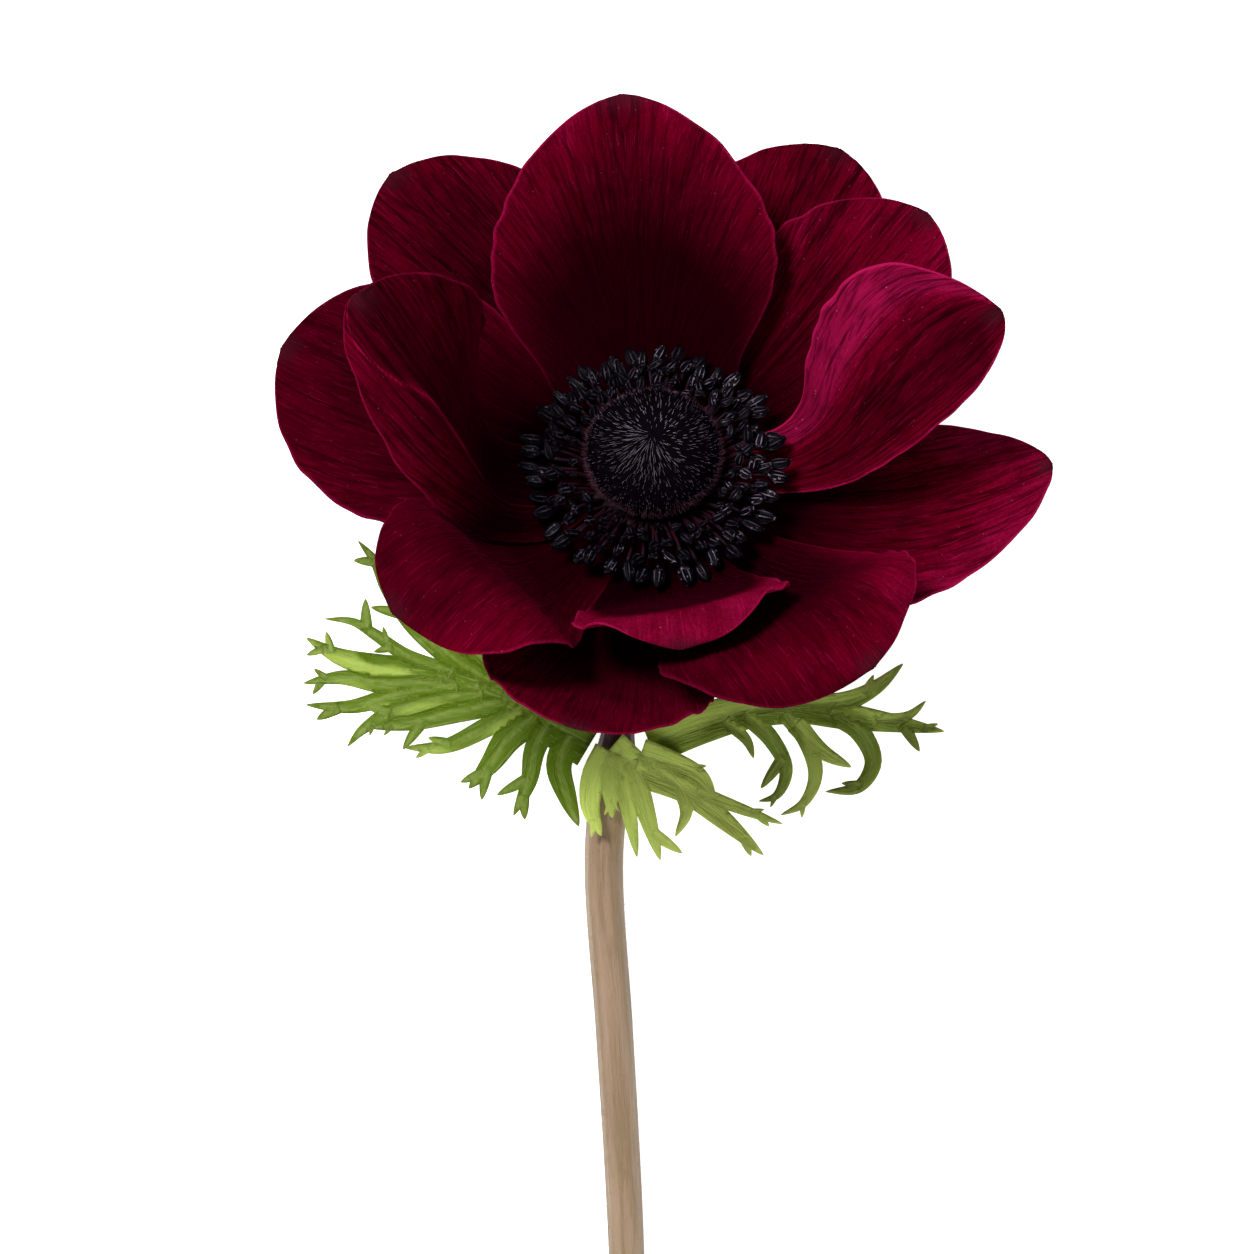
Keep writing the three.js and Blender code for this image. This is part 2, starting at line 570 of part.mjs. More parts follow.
function toothRib(rib, [at, hand, length, angle]) {
  const curve = ribCurve(rib.path);
  const point = curve.getPointAt(at);
  const turn = radians(hand === 'left' ? angle : -angle);
  const direction = curve.getTangentAt(at).applyAxisAngle(new THREE.Vector3(0, 0, 1), turn);
  const tip = point.clone().addScaledVector(direction, length + ribHalf(rib, at));
  return { path: [[point.x, point.y], [tip.x, tip.y]], half: Math.min(TOOTH.width * length, TOOTH.greatest) };
}

function ribOutline(rib, spacing) {
  const curve = ribCurve(rib.path);
  const steps = Math.max(Math.round(curve.getLength() / spacing), 3);
  const margin = (hand) => Array.from(
    { length: steps }, (_, k) => marginPoint(curve, k / steps, ribHalf(rib, k / steps), hand));
  const tip = curve.getPointAt(1);
  return [...margin('right'), [tip.x, tip.y], ...margin('left').reverse()];
}

// The leaf's height over the floor: an arch from the whorl to the furthest tips, a fall to the
// right for the leaf over the stem, and a low wave

function leafHeight(leaf, x, y) {
  const distance = Math.hypot(x, y);
  const arch = leaf.arch * Math.sin(Math.PI * Math.min(distance / leaf.span, 1));
  const fall = leaf.drop * Math.max(x - LEAF_DROP_FROM, 0);
  const wave = LEAF_WAVE.height * Math.sin(LEAF_WAVE.x * x + LEAF_WAVE.shift)
    * Math.cos(LEAF_WAVE.y * y) * smooth((distance - LEAF_WAVE.from) / LEAF_WAVE.over);
  return leaf.base + arch - fall + wave;
}

// The outlines of all ribs and teeth are joined flat, given the leaf's thickness, split finer and
// then bent to the leaf's height.

function leafGeometry(leaf) {
  const teeth = leaf.ribs.flatMap((rib) => rib.teeth.map((tooth) => toothRib(rib, tooth)));
  const outlines = [...leaf.ribs, ...teeth].map((rib) => ribOutline(rib, LEAF_SPACING));
  const flat = new wasm.CrossSection(outlines, 'NonZero').simplify(LEAF_TRIM);
  const solid = flat.extrude(LEAF_THICKNESS).refineToLength(LEAF_FACET).warp((point) => {
    const [x, y] = point;
    point[0] = BLOOM_CENTRE[0] + WHORL[0] + x;
    point[1] = BLOOM_CENTRE[1] + WHORL[1] + y;
    point[2] += leafHeight(leaf, x, y) - LEAF_THICKNESS / 2;
  });
  return fromSolid(solid);
}

// Materials

const finish = (color, roughness) => new THREE.MeshStandardMaterial({ color, roughness, metalness: 0 });
const TEPAL_FINISH = finish(0x7a0630, 0.6);
const STEM_FINISH = finish(0xa98a6c, 0.6);
const LEAF_FINISH = finish(0x86a245, 0.55);
const DOME_FINISH = finish(0x1c1020, 0.5);
const STAMEN_FINISH = finish(0x2c2836, 0.5);

function addPiece(group, name, geometry, material) {
  const mesh = new THREE.Mesh(geometry, material);
  mesh.name = name;
  group.add(mesh);
}

const flower = new THREE.Group();
addPiece(flower, 'stem', stemGeometry(), STEM_FINISH);
Object.entries(LEAVES).forEach(([name, leaf]) => {
  addPiece(flower, name, leafGeometry(leaf), LEAF_FINISH);
});
Object.entries(TEPALS).forEach(([name, own]) => {
  const tepal = { ...TEPAL, ...own };
  addPiece(flower, name, bladeGeometry(tepalGrid(tepal), TEPAL_THICKNESS), TEPAL_FINISH);
});
addPiece(flower, 'pistil_head', domeGeometry(), DOME_FINISH);
addPiece(flower, 'stamens', stamensGeometry(), STAMEN_FINISH);

export default flower;
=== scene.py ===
"""The looks of one cut anemone flower, built round its fixed solids as a Blender add-on."""

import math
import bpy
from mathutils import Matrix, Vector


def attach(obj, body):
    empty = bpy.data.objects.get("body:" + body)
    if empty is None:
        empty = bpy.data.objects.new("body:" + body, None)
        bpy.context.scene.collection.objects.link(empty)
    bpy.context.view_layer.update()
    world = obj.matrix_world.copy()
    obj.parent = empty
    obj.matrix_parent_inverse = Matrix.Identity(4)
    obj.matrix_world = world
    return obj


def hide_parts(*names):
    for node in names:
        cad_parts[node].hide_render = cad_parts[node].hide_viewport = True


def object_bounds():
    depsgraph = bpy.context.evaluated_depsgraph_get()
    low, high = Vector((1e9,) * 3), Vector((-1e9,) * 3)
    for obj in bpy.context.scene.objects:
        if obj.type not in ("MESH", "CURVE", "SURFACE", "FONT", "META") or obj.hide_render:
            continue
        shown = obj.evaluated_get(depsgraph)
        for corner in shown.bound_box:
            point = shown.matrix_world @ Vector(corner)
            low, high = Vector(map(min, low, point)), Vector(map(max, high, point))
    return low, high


bl_info = {
    "name": "Anemone Flower",
    "version": (1, 0, 0),
    "blender": (4, 5, 0),
    "location": "3D View > Sidebar > Anemone",
    "description": "Builds the tepals, pistil head, stamens, stem, leaves and studio of a cut anemone",
    "category": "Add Mesh",
}

import bpy
import numpy as np
from bpy.props import FloatProperty, FloatVectorProperty, IntProperty, PointerProperty
from mathutils.geometry import delaunay_2d_cdt

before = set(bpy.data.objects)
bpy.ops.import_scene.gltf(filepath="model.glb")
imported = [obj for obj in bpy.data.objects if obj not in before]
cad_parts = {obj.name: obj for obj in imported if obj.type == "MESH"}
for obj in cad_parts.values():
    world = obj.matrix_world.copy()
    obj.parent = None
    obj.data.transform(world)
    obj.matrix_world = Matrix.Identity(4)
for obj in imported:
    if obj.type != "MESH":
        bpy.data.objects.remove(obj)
SOLID_BOX = [list(map(float, corner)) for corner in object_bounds()]

# Where the random draws of each group begin; tepals and leaves count on from theirs

SEEDS = dict(tepals=3, pistil=5, stamens=21, stem=9, leaves=40)

# Sizes shared with the solids, in millimetres and degrees

MM = 0.001
UP = np.array([0.0, 0.0, 1.0])
BLOOM_CENTRE = np.array([-0.7, 38.0, 23.0])
BLOOM_TILT = math.radians(25.0)

# A tepal. Pairs go from its root to its end, but climb and lip say where the slope begins and
# ends its change, lip and crease begin with their angle, and wide is the left and right side.

TEPAL = dict(
    root=4.55, foot=-1.9, turn=0, climb=(0.12, 0.6), lip=(0, 0.6), wide=(1, 1), widest=0.6, claw=1.9,
    flare=1.2, round=2.2, blunt=0.55, roll=(0, 0), crease=(0, 0.3), fold=(0, 0), wave=0.3, waves=2.5)

TEPALS = {
    "tepal_top": dict(
        heading=95, length=43, half=17.2, slope=(5, 44), climb=(0.12, 0.85), cup=(28, 15),
        widest=0.53, round=1.85, blunt=0.6, flare=1.0),
    "tepal_right_inner": dict(
        heading=1, turn=31, length=47.4, half=14, slope=(2, 60), climb=(0.12, 0.5), lip=(-22, 0.5),
        cup=(30, 12), roll=(4, 18), widest=0.77, blunt=0.62, flare=1.5, wide=(0.33, 1.04)),
    "tepal_front_right": dict(
        heading=-50, length=39, half=14.5, slope=(0, 58), lip=(-86, 0.6), cup=(5, -5),
        roll=(5, -10), widest=0.7, flare=1.5, wide=(1.28, 0.9)),
    "tepal_front": dict(
        heading=276, foot=-0.8, length=33, half=13, slope=(1.5, 60), climb=(0.12, 0.53),
        lip=(-125, 0.82), cup=(15, 0), roll=(5, 5), widest=0.7, round=1.7, blunt=0.7, wide=(0.88, 1)),
    "tepal_front_left": dict(
        heading=219, length=43, half=15, slope=(0, 70), climb=(0.12, 0.55), lip=(-115, 0.6),
        cup=(4, -8), roll=(0, 5), widest=0.68, flare=1.3, wide=(0.66, 1)),
    "tepal_left_inner": dict(
        heading=196, turn=-57, foot=-0.8, length=55.5, half=13.5, slope=(3, 77), climb=(0.07, 0.37),
        lip=(-30, 0.5), cup=(20, 20), roll=(0, 12), crease=(-78, 0), fold=(0.4, 0.05), wide=(1, 0.62)),
    "tepal_right_upper": dict(
        heading=45, foot=-2.9, length=42.5, half=12.5, slope=(2, 20), climb=(0.12, 1), cup=(15, 10),
        blunt=0.6),
    "tepal_back_right": dict(
        heading=64, foot=-3.9, length=47.5, half=13.2, slope=(-2, 2), climb=(0.12, 1), cup=(8, 5),
        wide=(0.92, 1)),
    "tepal_back_left": dict(
        heading=121, turn=13, foot=-3.9, length=49.5, half=13.8, slope=(-2, 1.4), climb=(0.12, 1),
        cup=(8, 5), round=2, blunt=0.6),
    "tepal_left_outer": dict(
        heading=160, foot=-2.9, length=42, half=15, slope=(3, 12), climb=(0.12, 1), cup=(15, 10),
        blunt=0.6, wide=(1, 1.12)),
    "tepal_front_outer": dict(
        heading=257, foot=-3.9, length=39, half=13.2, slope=(-2, 44), climb=(0.12, 0.7), cup=(15, 5)),
    "tepal_right_outer": dict(
        heading=-8, turn=20, foot=-3.9, length=43, half=12.6, slope=(-2, 26), climb=(0.12, 1),
        cup=(10, 10), flare=1.3, widest=0.46, round=1.2, wide=(1.12, 1)),
}

TURN_FROM = 0.15
ROLL_BY = 0.55
FOLD_ROUNDING = 0.3
LEAST_HALF_WIDTH = 0.22

# How a tepal is coloured: its own colour with painted light and shade. It is near black up to
# the part dark_to of its length, a dark base of its own that reaches further up as painted shade
# where the tepal lies in the cup's shadow, and fully crimson, as bright as level, from full_at on,
# and nowhere darker than least; level is painted light, higher on the better lit tepals. Its
# left and right margins are brighter or darker by left and right, painted sheen and painted
# shade, in a strip that is thinner the higher narrow is. Its veins fan out, or follow its outline
# by the part follow, and stand out by veins.

TEPAL_LOOK = dict(
    dark_to=0.3, full_at=1.1, level=0.8, least=0, left=0, right=0, narrow=1.6, follow=0.3, veins=1)

TEPAL_LOOKS = {
    "tepal_top": dict(
        dark_to=0.46, full_at=1.22, level=0.98, least=0.06, veins=0.75, right=0.05, follow=0.05),
    "tepal_right_inner": dict(
        dark_to=3.0, full_at=-1.0, level=0.68, left=0.8, right=3.0, narrow=2.4, follow=0.85),
    "tepal_front_right": dict(
        dark_to=0.60, full_at=1.02, level=0.88, left=-0.5, right=0.2, veins=0.45),
    "tepal_front": dict(dark_to=0.74, full_at=0.9, level=1.15, veins=0.25),
    "tepal_front_left": dict(
        dark_to=0.54, full_at=0.92, level=0.42, least=0.08, right=0.35, veins=0.45),
    "tepal_left_inner": dict(
        dark_to=0.20, full_at=1.15, level=0.64, least=0.04, left=0.1, right=0.12, follow=0.5),
    "tepal_right_upper": dict(dark_to=0.12, full_at=1.05, level=0.98),
    "tepal_back_right": dict(full_at=1.15, level=0.88),
    "tepal_back_left": dict(full_at=1.2, level=0.6, left=0.1),
    "tepal_left_outer": dict(dark_to=0.25, level=0.46, right=0.1, follow=0.5, veins=0.8),
    "tepal_front_outer": dict(dark_to=0.35, level=0.68, veins=0.6),
    "tepal_right_outer": dict(dark_to=0.2, full_at=1.02, level=1.1, left=0.1, follow=0.8),
}

# The left inner tepal's fold, painted in light and shade: where it runs across the blade, low
# down and at the tip, how much painted shade darkens its inner side and how much a painted
# highlight brightens the ridge itself

FOLD_PAINTED_LIGHT = dict(low=0.10, high=0.9, rise_from=0.70, fade=0.16, width=0.026, shade=0.45, glow=0.9)

# The claws are a little wider than the solids', so that less light shows between them

CLAW_WIDER = dict(by=0.3, at=0.12, over=0.08)

# The fine blades: notches and ruffles of the margins with the waves that make them, the fan of
# the veins and their relief, and how much thinner and rounder the edge is

ROW_CROWDING = 0.55
LIGHT_BOW = 0.40
FADE_IN = 3
UNEVEN_FROM = (0.25, 0.55)
NOTCHES = dict(waves=6, low=2.0, high=13.0)
RUFFLES = dict(waves=5, low=4.0, high=11.0)
FAN = dict(foot=0.10, spread=1.3, power=1.5, past_outline=0.25, least_side=0.5)
VEINS = dict(count=9, low=3.5, high=13.0, wander=2.0, sharp=2.2, margin_fade=0.6)
EDGE = dict(rounding=0.35, thinning=0.45, least_height=0.02)

# The stem: the receptacle as height and radius pairs, the stalk's top as the way past that and
# its radius, the stem near the whorl of leaves as such pairs, and its curve below them

RECEPTACLE = ((-5.5, 2.1), (-4.7, 3.4), (-3.3, 4.2), (0.4, 4.2), (2.55, 3.6))
WHORL = BLOOM_CENTRE * (1, 1, 0) + (-4.4, -33.1, 4.7)
STALK = dict(top=(1.2, 2.3), below=7, bend=(1.2, 13, 0.6), colour_ends=(-1.6, 0.6))
WHORL_RADII = ((-3.5, 1.9), (-0.3, 2.45), (1.2, 2.7), (6.0, 2.35))
STEM = dict(cut=2.05, fall=1.6, ribs=11, rib_depth=0.018)
STEM_PATH = ((-5.8, -45.1), (-4.6, -65.6), (-3.6, -82.2), (-3.1, -92.9), (-2.2, -121.0))
CUT_FACE = dict(sunk=(0.0, 0.04, 0.16, 0.22), narrowed=(0.96, 0.86, 0.5, 0.12))
STEM_HAIR = dict(first_row=95, last_rows=8, sunk=0.03, untidy=0.35, clear=0.8,
                 length=(0.25, 0.55), radius=0.022, droop=0.2)

# The pistil head and the stamens

DOME = dict(radius=7.5, foot=1.5, top=10.6, opening=0.2)
# The section of the ring that the filaments grow from, as radius and height pairs
STAMEN_CORE = ((4.5, 0.8), (8.2, 0.8), (8.0, 1.7), (7.5, 1.9), (4.9, 1.9), (4.5, 1.6))
STAMEN_ROOT = (6.6, 1.2)
STAMEN_BOW = 0.715
STAMEN_ROWS = (
    dict(count=42, reach=14.1, height=2.6, length=2.7, width=0.86, spread=0.20, lift=0.15),
    dict(count=42, reach=12.4, height=3.7, length=2.2, width=0.74, spread=0.5, lift=0.5),
    dict(count=42, reach=10.9, height=4.5, length=1.9, width=0.66, spread=0.8, lift=0.7),
    dict(count=34, reach=9.6, height=4.6, length=1.6, width=0.56, spread=1.0, lift=0.8),
)
# How far a stamen strays from its place, and how much larger or smaller than its row it is
STAMEN_STRAYS = dict(turn=0.035, reach=0.55, height=(-0.5, 0.6), lift=0.28, size=(0.88, 1.1))
FILAMENT = dict(radius=0.23, waist=0.07, past_foot=0.25)
# Painted shade: anthers on the -X side of the bloom are painted dimmer, down to dim
LIT_SIDE = dict(between=(-0.9, 0.4), dim=0.35)
# Round an anther, in radians from its front: the middle, depth and width of each groove
ANTHER_GROOVES = ((0, 0.30, 0.16), (0.95, 0.24, 0.22), (-0.95, 0.24, 0.22), (np.pi, 0.22, 0.35))
# Where a painted highlight runs along each anther, in radians round from its front, and its width
ANTHER_HIGHLIGHT_CRESTS = dict(at=(0.42, -0.42, 1.55, -1.55), width=0.17)
ANTHER = dict(flatness=0.78, bow=0.16, twist=0.5, blunt=0.62, swell=(0.07, 0.93),
              taper=(1.08, 0.86), grooved=(0.06, 0.94), low_end=0.04, high_end=0.05)

# The leaves. A rib is its greatest half width, its path from the whorl and its teeth, and a
# tooth is its place as a part of the rib, its length and its angle, above zero to the left.

RIB_TAPER = 0.4
TOOTH = dict(width=0.34, greatest=0.8)
LEAF_DROP_FROM = 2.5
LEAF_WAVE = dict(height=0.45, x=0.55, shift=0.3, y=0.5, begins=(4.8, 12.8))
LEAF_CHANNEL = dict(rise=0.26, most=1.5, groove=0.12, curl=0.12, near=0.2)
# A lobe's side tone is painted light and shade: one side of each rib lighter than the other
LEAF_LOBE = dict(curl=1.3, full_curl_at=9, tooth_curl=(-0.5, 0.6), side_painted_light=0.35, thinning=0.5)
# How far from a rib or a margin its colour reaches, and a lobe's tone and lift from its rib
LEAF_REACH = dict(rib=0.26, margin=0.18, side=0.5, lobe=0.8, least=0.35)

# A leaf's pale is painted light, lifting its green towards a paler one, most over the stem
LEAVES = {
    "involucral_leaf_left": dict(base=4.9, arch=3.4, span=40, drop=0, pale=0, ribs=[
        (2.9, [(-3.1, 1.4), (-6.6, 3.5), (-13.8, 7.6), (-21, 9.6), (-28.2, 10.7), (-33.6, 12.2),
               (-37.4, 14.3)], [(0.9, 1.8, -50), (0.93, 1.6, 50)]),
        (1.6, [(-15, 9), (-19.8, 12.2), (-24.4, 16.2), (-27.4, 20.4), (-29, 23.6), (-31, 26)],
         [(0.55, 3.2, 40), (0.86, 2, 55), (0.62, 1.6, -35)]),
        (2, [(-12, 8), (-14.8, 10.7), (-18.4, 14), (-21.5, 17.4)], [(0.7, 2.6, 40)]),
        (1, [(-19.8, 10.2), (-25.2, 12.2), (-28.8, 14.6), (-31.6, 16.2), (-35.2, 16.6)],
         [(0.68, 3, -55), (0.5, 1.2, -40), (0.45, 1.6, 50)]),
        (1.5, [(-21, 9.2), (-27.6, 8.8), (-33, 9.5), (-37.7, 8.8)], [(0.82, 1.4, -45), (0.85, 1.6, 45)]),
        (1.4, [(-19.2, 8.8), (-25.8, 7.6), (-31.8, 6), (-37.4, 6.2)], [(0.78, 2.4, 30)]),
        (1.5, [(-16.2, 7.8), (-22.2, 6.8), (-27.2, 5.2), (-30.4, 3.2), (-32.2, 1.2)],
         [(0.62, 2.6, -40), (0.75, 1, 40)]),
        (1.6, [(-13.2, 6.8), (-19.2, 5.4), (-24, 4.2), (-29.2, 3.4)], [(0.62, 3.2, 42), (0.85, 1, 40)]),
        (1.4, [(-11.4, 5.9), (-15.6, 3.5), (-20.4, 1.3), (-25.3, 1.1)], [(0.62, 2, -35), (0.8, 1.4, 35)]),
        (2, [(-9.6, 5), (-12.8, 2.3), (-15, -0.8), (-17.6, -3.8)], [(0.78, 2, -25), (0.72, 2.8, 30)]),
        (1.5, [(-8, 4.4), (-9.7, 0.8), (-10.4, -3), (-12.2, -7)], [(0.78, 2.2, 28), (0.6, 3.4, -50)]),
        (1.8, [(-5.4, 2.6), (-6.8, -1), (-5.8, -4.8), (-4.4, -8.4)], []),
    ]),
    "involucral_leaf_front": dict(base=8.1, arch=0.3, span=16, drop=0.24, pale=0.60, ribs=[
        (2, [(-0.4, 1.3), (3, -1.6), (8.4, -4), (13.2, -7.8), (17.9, -12)], [(0.85, 1.8, -25)]),
        (0.9, [(10.2, -4.4), (15, -6.3), (20.2, -8.2)], [(0.7, 1.4, -25), (0.6, 1.2, 30)]),
        (2, [(3, 0.3), (7.1, -1.1), (10, -2.4), (12, -4.6)], [(0.5, 1.5, 26)]),
        (1.3, [(0.4, 0.2), (1.4, -5.2), (2.6, -12)], []),
        (1.5, [(1.8, -0.4), (3.6, -6.4), (5.4, -12.4)], [(0.72, 3.6, 38)]),
        (1.3, [(4.2, -1), (7.8, -4), (8.5, -6.6), (7.2, -9.6)], []),
        (1.8, [(-0.8, 0.8), (-2.5, -2.2), (-3, -5.8), (-1.7, -9.4)], [(0.8, 1.4, -30)]),
        (1.5, [(-0.4, 0.6), (-0.6, -3.4), (-0.4, -7.3)], [(0.75, 1, -30), (0.7, 1, 30)]),
    ]),
    "involucral_leaf_right": dict(base=4.9, arch=2.2, span=42, drop=0, pale=0.12, ribs=[
        (2.6, [(4.1, 1.5), (10.2, 3.9), (16.2, 5.6), (22.2, 5.9), (27.6, 4.9), (33.6, 4), (39.7, 3)],
         [(0.86, 2.8, -50), (0.93, 1.2, 25)]),
        (1.5, [(21, 6.4), (27, 6.5), (31.2, 8.3), (34.6, 11.2)], [(0.6, 1.6, 35)]),
        (0.8, [(31.2, 4.4), (35.2, 4.9), (37.4, 6.7)], []),
        (1.4, [(25.8, 5.4), (29.2, 3.2), (31, -0.6), (29.2, -3.6), (25.2, -4.2)], [(0.72, 1.6, -45)]),
        (1.3, [(21.6, 4), (24.6, 0.8), (28.4, -1.3)], []),
        (1.2, [(20.4, 5.4), (22.9, 2), (24, -2.2), (22.6, -5.5), (19.8, -7)], [(0.8, 1.2, 40)]),
        (1.2, [(15.6, 5.2), (18.8, 2), (20.5, -1.6), (19.4, -4.6), (17.2, -5.4)],
         [(0.5, 3.6, -60), (0.85, 1, 30)]),
        (0.9, [(13.2, 4.4), (15.8, 1.9), (16.6, -0.2)], []),
    ]),
}

# The stage: lights in metres and watts, and the photograph's side, scale and bloom's middle

LIGHTS = {
    "key": dict(place=(-0.22, 0.26, 0.56), size=0.14, power=4.4),
    "fill": dict(place=(0.05, -0.42, 0.50), size=0.45, power=2.4),
}
SKY_LIGHT = 0.12
FLOOR_HALF_SIDE = 1.5
PHOTO_SIDE = 1254
BLOOM_PIXEL = (653, 476)
MM_PER_PIXEL = 0.116
CAMERA_HEIGHT = 450.0
SENSOR = 36.0


# Small numeric helpers

def smooth(value):
    """An S-curve from 0 to 1: three times the square less twice the cube, held at both ends."""
    x = np.clip(value, 0, 1)
    return x * x * (3 - 2 * x)


def eased(value, begin, end):
    """How far a value has come from begin to end, as that S-curve."""
    return smooth((value - begin) / (end - begin))


def between(pair, part):
    """The value a part of the way from the first of a pair to the second."""
    return pair[0] + (pair[1] - pair[0]) * part


def bloom_point(across, along, up):
    """A point given across, along and up the bloom's own axis, which leans back by the tilt."""
    c, s = math.cos(BLOOM_TILT), math.sin(BLOOM_TILT)
    across, along, up = np.broadcast_arrays(across, along, up)
    return BLOOM_CENTRE + np.stack([across, along * c + up * s, up * c - along * s], axis=-1)


def to_bloom(points):
    """Points in the bloom's own axes turned into the flower's frame."""
    return bloom_point(points[..., 0], points[..., 1], points[..., 2])


def unit(vectors):
    """The same directions with length one."""
    length = np.linalg.norm(vectors, axis=-1, keepdims=True)
    return vectors / np.maximum(length, 1e-12)


def round_turn(sides):
    """Even angles once round, in radians."""
    return np.linspace(0, 2 * np.pi, sides, endpoint=False)


def in_plane(angle):
    """Directions in the level plane at angles from +X."""
    return np.stack([np.cos(angle), np.sin(angle), np.zeros_like(angle)], axis=-1)


def millimetres(length):
    """A property's length in millimetres, free of its single precision's last digits."""
    return round(length / MM, 6)


def ripple(rng, waves, low, high):
    """A seeded sum of sines between two frequencies, which returns a function from -1 to 1."""
    frequencies = rng.uniform(low, high, waves)
    phases = rng.uniform(0, 2 * np.pi, waves)
    weights = rng.uniform(0.5, 1.0, waves)
    weights /= weights.sum()

    def value(x):
        return (weights * np.sin(2 * np.pi * frequencies * x[..., None] + phases)).sum(-1)

    return value


def read_off(wanted, known, line):
    """Points of a line at the wanted places, read straight between the known places."""
    return np.stack([np.interp(wanted, known, axis) for axis in line.T], axis=-1)


def line_length(line):
    """The length walked up to each point of a line."""
    return np.concatenate([[0], np.cumsum(np.linalg.norm(np.diff(line, axis=0), axis=1))])


def even_points(line, count):
    """A line of points walked at even steps of its length."""
    travelled = line_length(line)
    return read_off(np.linspace(0, travelled[-1], count), travelled, line)


def spline(path, count, steps=60):
    """Even points on a centripetal Catmull-Rom curve: in each span the tangents weigh the
    neighbouring chords by the square roots of their lengths, and a cubic joins the ends."""
    p = np.array(path, float)
    if len(p) == 2:
        return p[0] + (p[1] - p[0]) * np.linspace(0, 1, count)[:, None]
    p = np.vstack([2 * p[0] - p[1], p, 2 * p[-1] - p[-2]])
    p0, p1, p2, p3 = p[:-3], p[1:-2], p[2:-1], p[3:]
    d0, d1, d2 = (np.sqrt(np.linalg.norm(b - a, axis=1))[:, None]
                  for a, b in ((p0, p1), (p1, p2), (p2, p3)))
    m1 = ((p1 - p0) / d0 - (p2 - p0) / (d0 + d1) + (p2 - p1) / d1) * d1
    m2 = ((p2 - p1) / d1 - (p3 - p1) / (d1 + d2) + (p3 - p2) / d2) * d1
    x = np.linspace(0, 1, steps)[:, None, None]
    curve = ((2 * x**3 - 3 * x**2 + 1) * p1 + (x**3 - 2 * x**2 + x) * m1
             + (3 * x**2 - 2 * x**3) * p2 + (x**3 - x**2) * m2)
    return even_points(curve.transpose(1, 0, 2).reshape(-1, p.shape[1]), count)


# Meshes

def strip_quads(rows, columns, closed=True):
    """Quads between neighbouring rows of a grid of points, the last column joined to the first
    where it is closed."""
    i, j = np.meshgrid(np.arange(rows - 1), np.arange(columns if closed else columns - 1),
                       indexing="ij")
    after = (j + 1) % columns
    low, high = i * columns, (i + 1) * columns
    return np.stack([low + j, low + after, high + after, high + j], axis=-1).reshape(-1, 4)


def capped_faces(rows, sides):
    """Faces of rings of points along a line, closed by a fan of triangles at each end. The fans'
    middle points come after the rings, the first end's before the last end's."""
    ring = np.arange(sides)
    after = np.roll(ring, -1)
    last = (rows - 1) * sides
    return [strip_quads(rows, sides), np.vstack([
        np.stack([np.full(sides, rows * sides), after, ring], axis=-1),
        np.stack([np.full(sides, rows * sides + 1), ring + last, after + last], axis=-1)])]


def rings_round(line, across, up, reach):
    """Rings of points round a line: each is the line's point, plus across times the reach times
    the cosine of the angle round, plus up times the reach times its sine."""
    angle = round_turn(reach.shape[-1])
    return (line[..., None, :] + across[..., None, :] * (reach * np.cos(angle))[..., None]
            + up[..., None, :] * (reach * np.sin(angle))[..., None])


def many(rings, first, last):
    """Points and faces of many like pieces, each a row of rings closed at both ends."""
    count, rows, sides = rings.shape[:3]
    points = np.concatenate([rings.reshape(count, -1, 3), first[:, None], last[:, None]], axis=1)
    offset = (np.arange(count) * points.shape[1])[:, None, None]
    faces = [(group + offset).reshape(-1, group.shape[1]) for group in capped_faces(rows, sides)]
    return points.reshape(-1, 3), faces


def on_each(values, points):
    """One value for each of many like pieces, given to all points of the piece."""
    return np.repeat(values, len(points) // len(values))


def on_rings(values, sides, first, last):
    """One value for each ring of a piece, given to all its points, with those of its two ends."""
    return np.concatenate([np.repeat(values, sides), [first, last]])


def spikes(roots, directions, lengths, radii, droop, sides=5):
    """Many small tapered hairs. Each is a ring carried along a short path, its length times the
    way along its direction plus the way's square along droop; the rings shrink to a tip."""
    way = np.array([0.0, 0.45, 0.8, 1.0])[:, None]
    taper = np.array([1.0, 0.8, 0.45])[:, None] * np.ones(sides)
    path = roots[:, None] + lengths[:, None, None] * (directions[:, None] * way
                                                      + droop[:, None] * way**2)
    steep = np.abs(directions[:, 2:]) > 0.9
    across = unit(np.cross(np.where(steep, [[1.0, 0, 0]], [UP]), directions))
    up = np.cross(directions, across)
    rings = rings_round(path[:, :-1], across[:, None], up[:, None], radii[:, None, None] * taper)
    return many(rings, roots, path[:, -1])


def new_piece(name, points, faces, material, fields):
    """Puts points in millimetres and faces into a mesh object at the origin, with a float
    attribute for each field."""
    mesh = bpy.data.meshes.new(name)
    every_face = [face for group in faces for face in group.tolist()]
    mesh.from_pydata((points * MM).tolist(), [], every_face)
    mesh.polygons.foreach_set("use_smooth", np.ones(len(mesh.polygons), bool))
    mesh.materials.append(material)
    for key, values in fields.items():
        attribute = mesh.attributes.new(key, "FLOAT", "POINT")
        attribute.data.foreach_set("value", values.astype(np.float32).ravel())
    mesh.update()
    piece = bpy.data.objects.new(name, mesh)
    bpy.context.scene.collection.objects.link(piece)
    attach(piece, "root")
    return piece


# Shader helpers

# How far apart the streaks of one seed and the next lie in the noise
SEED_STEP = 7.3


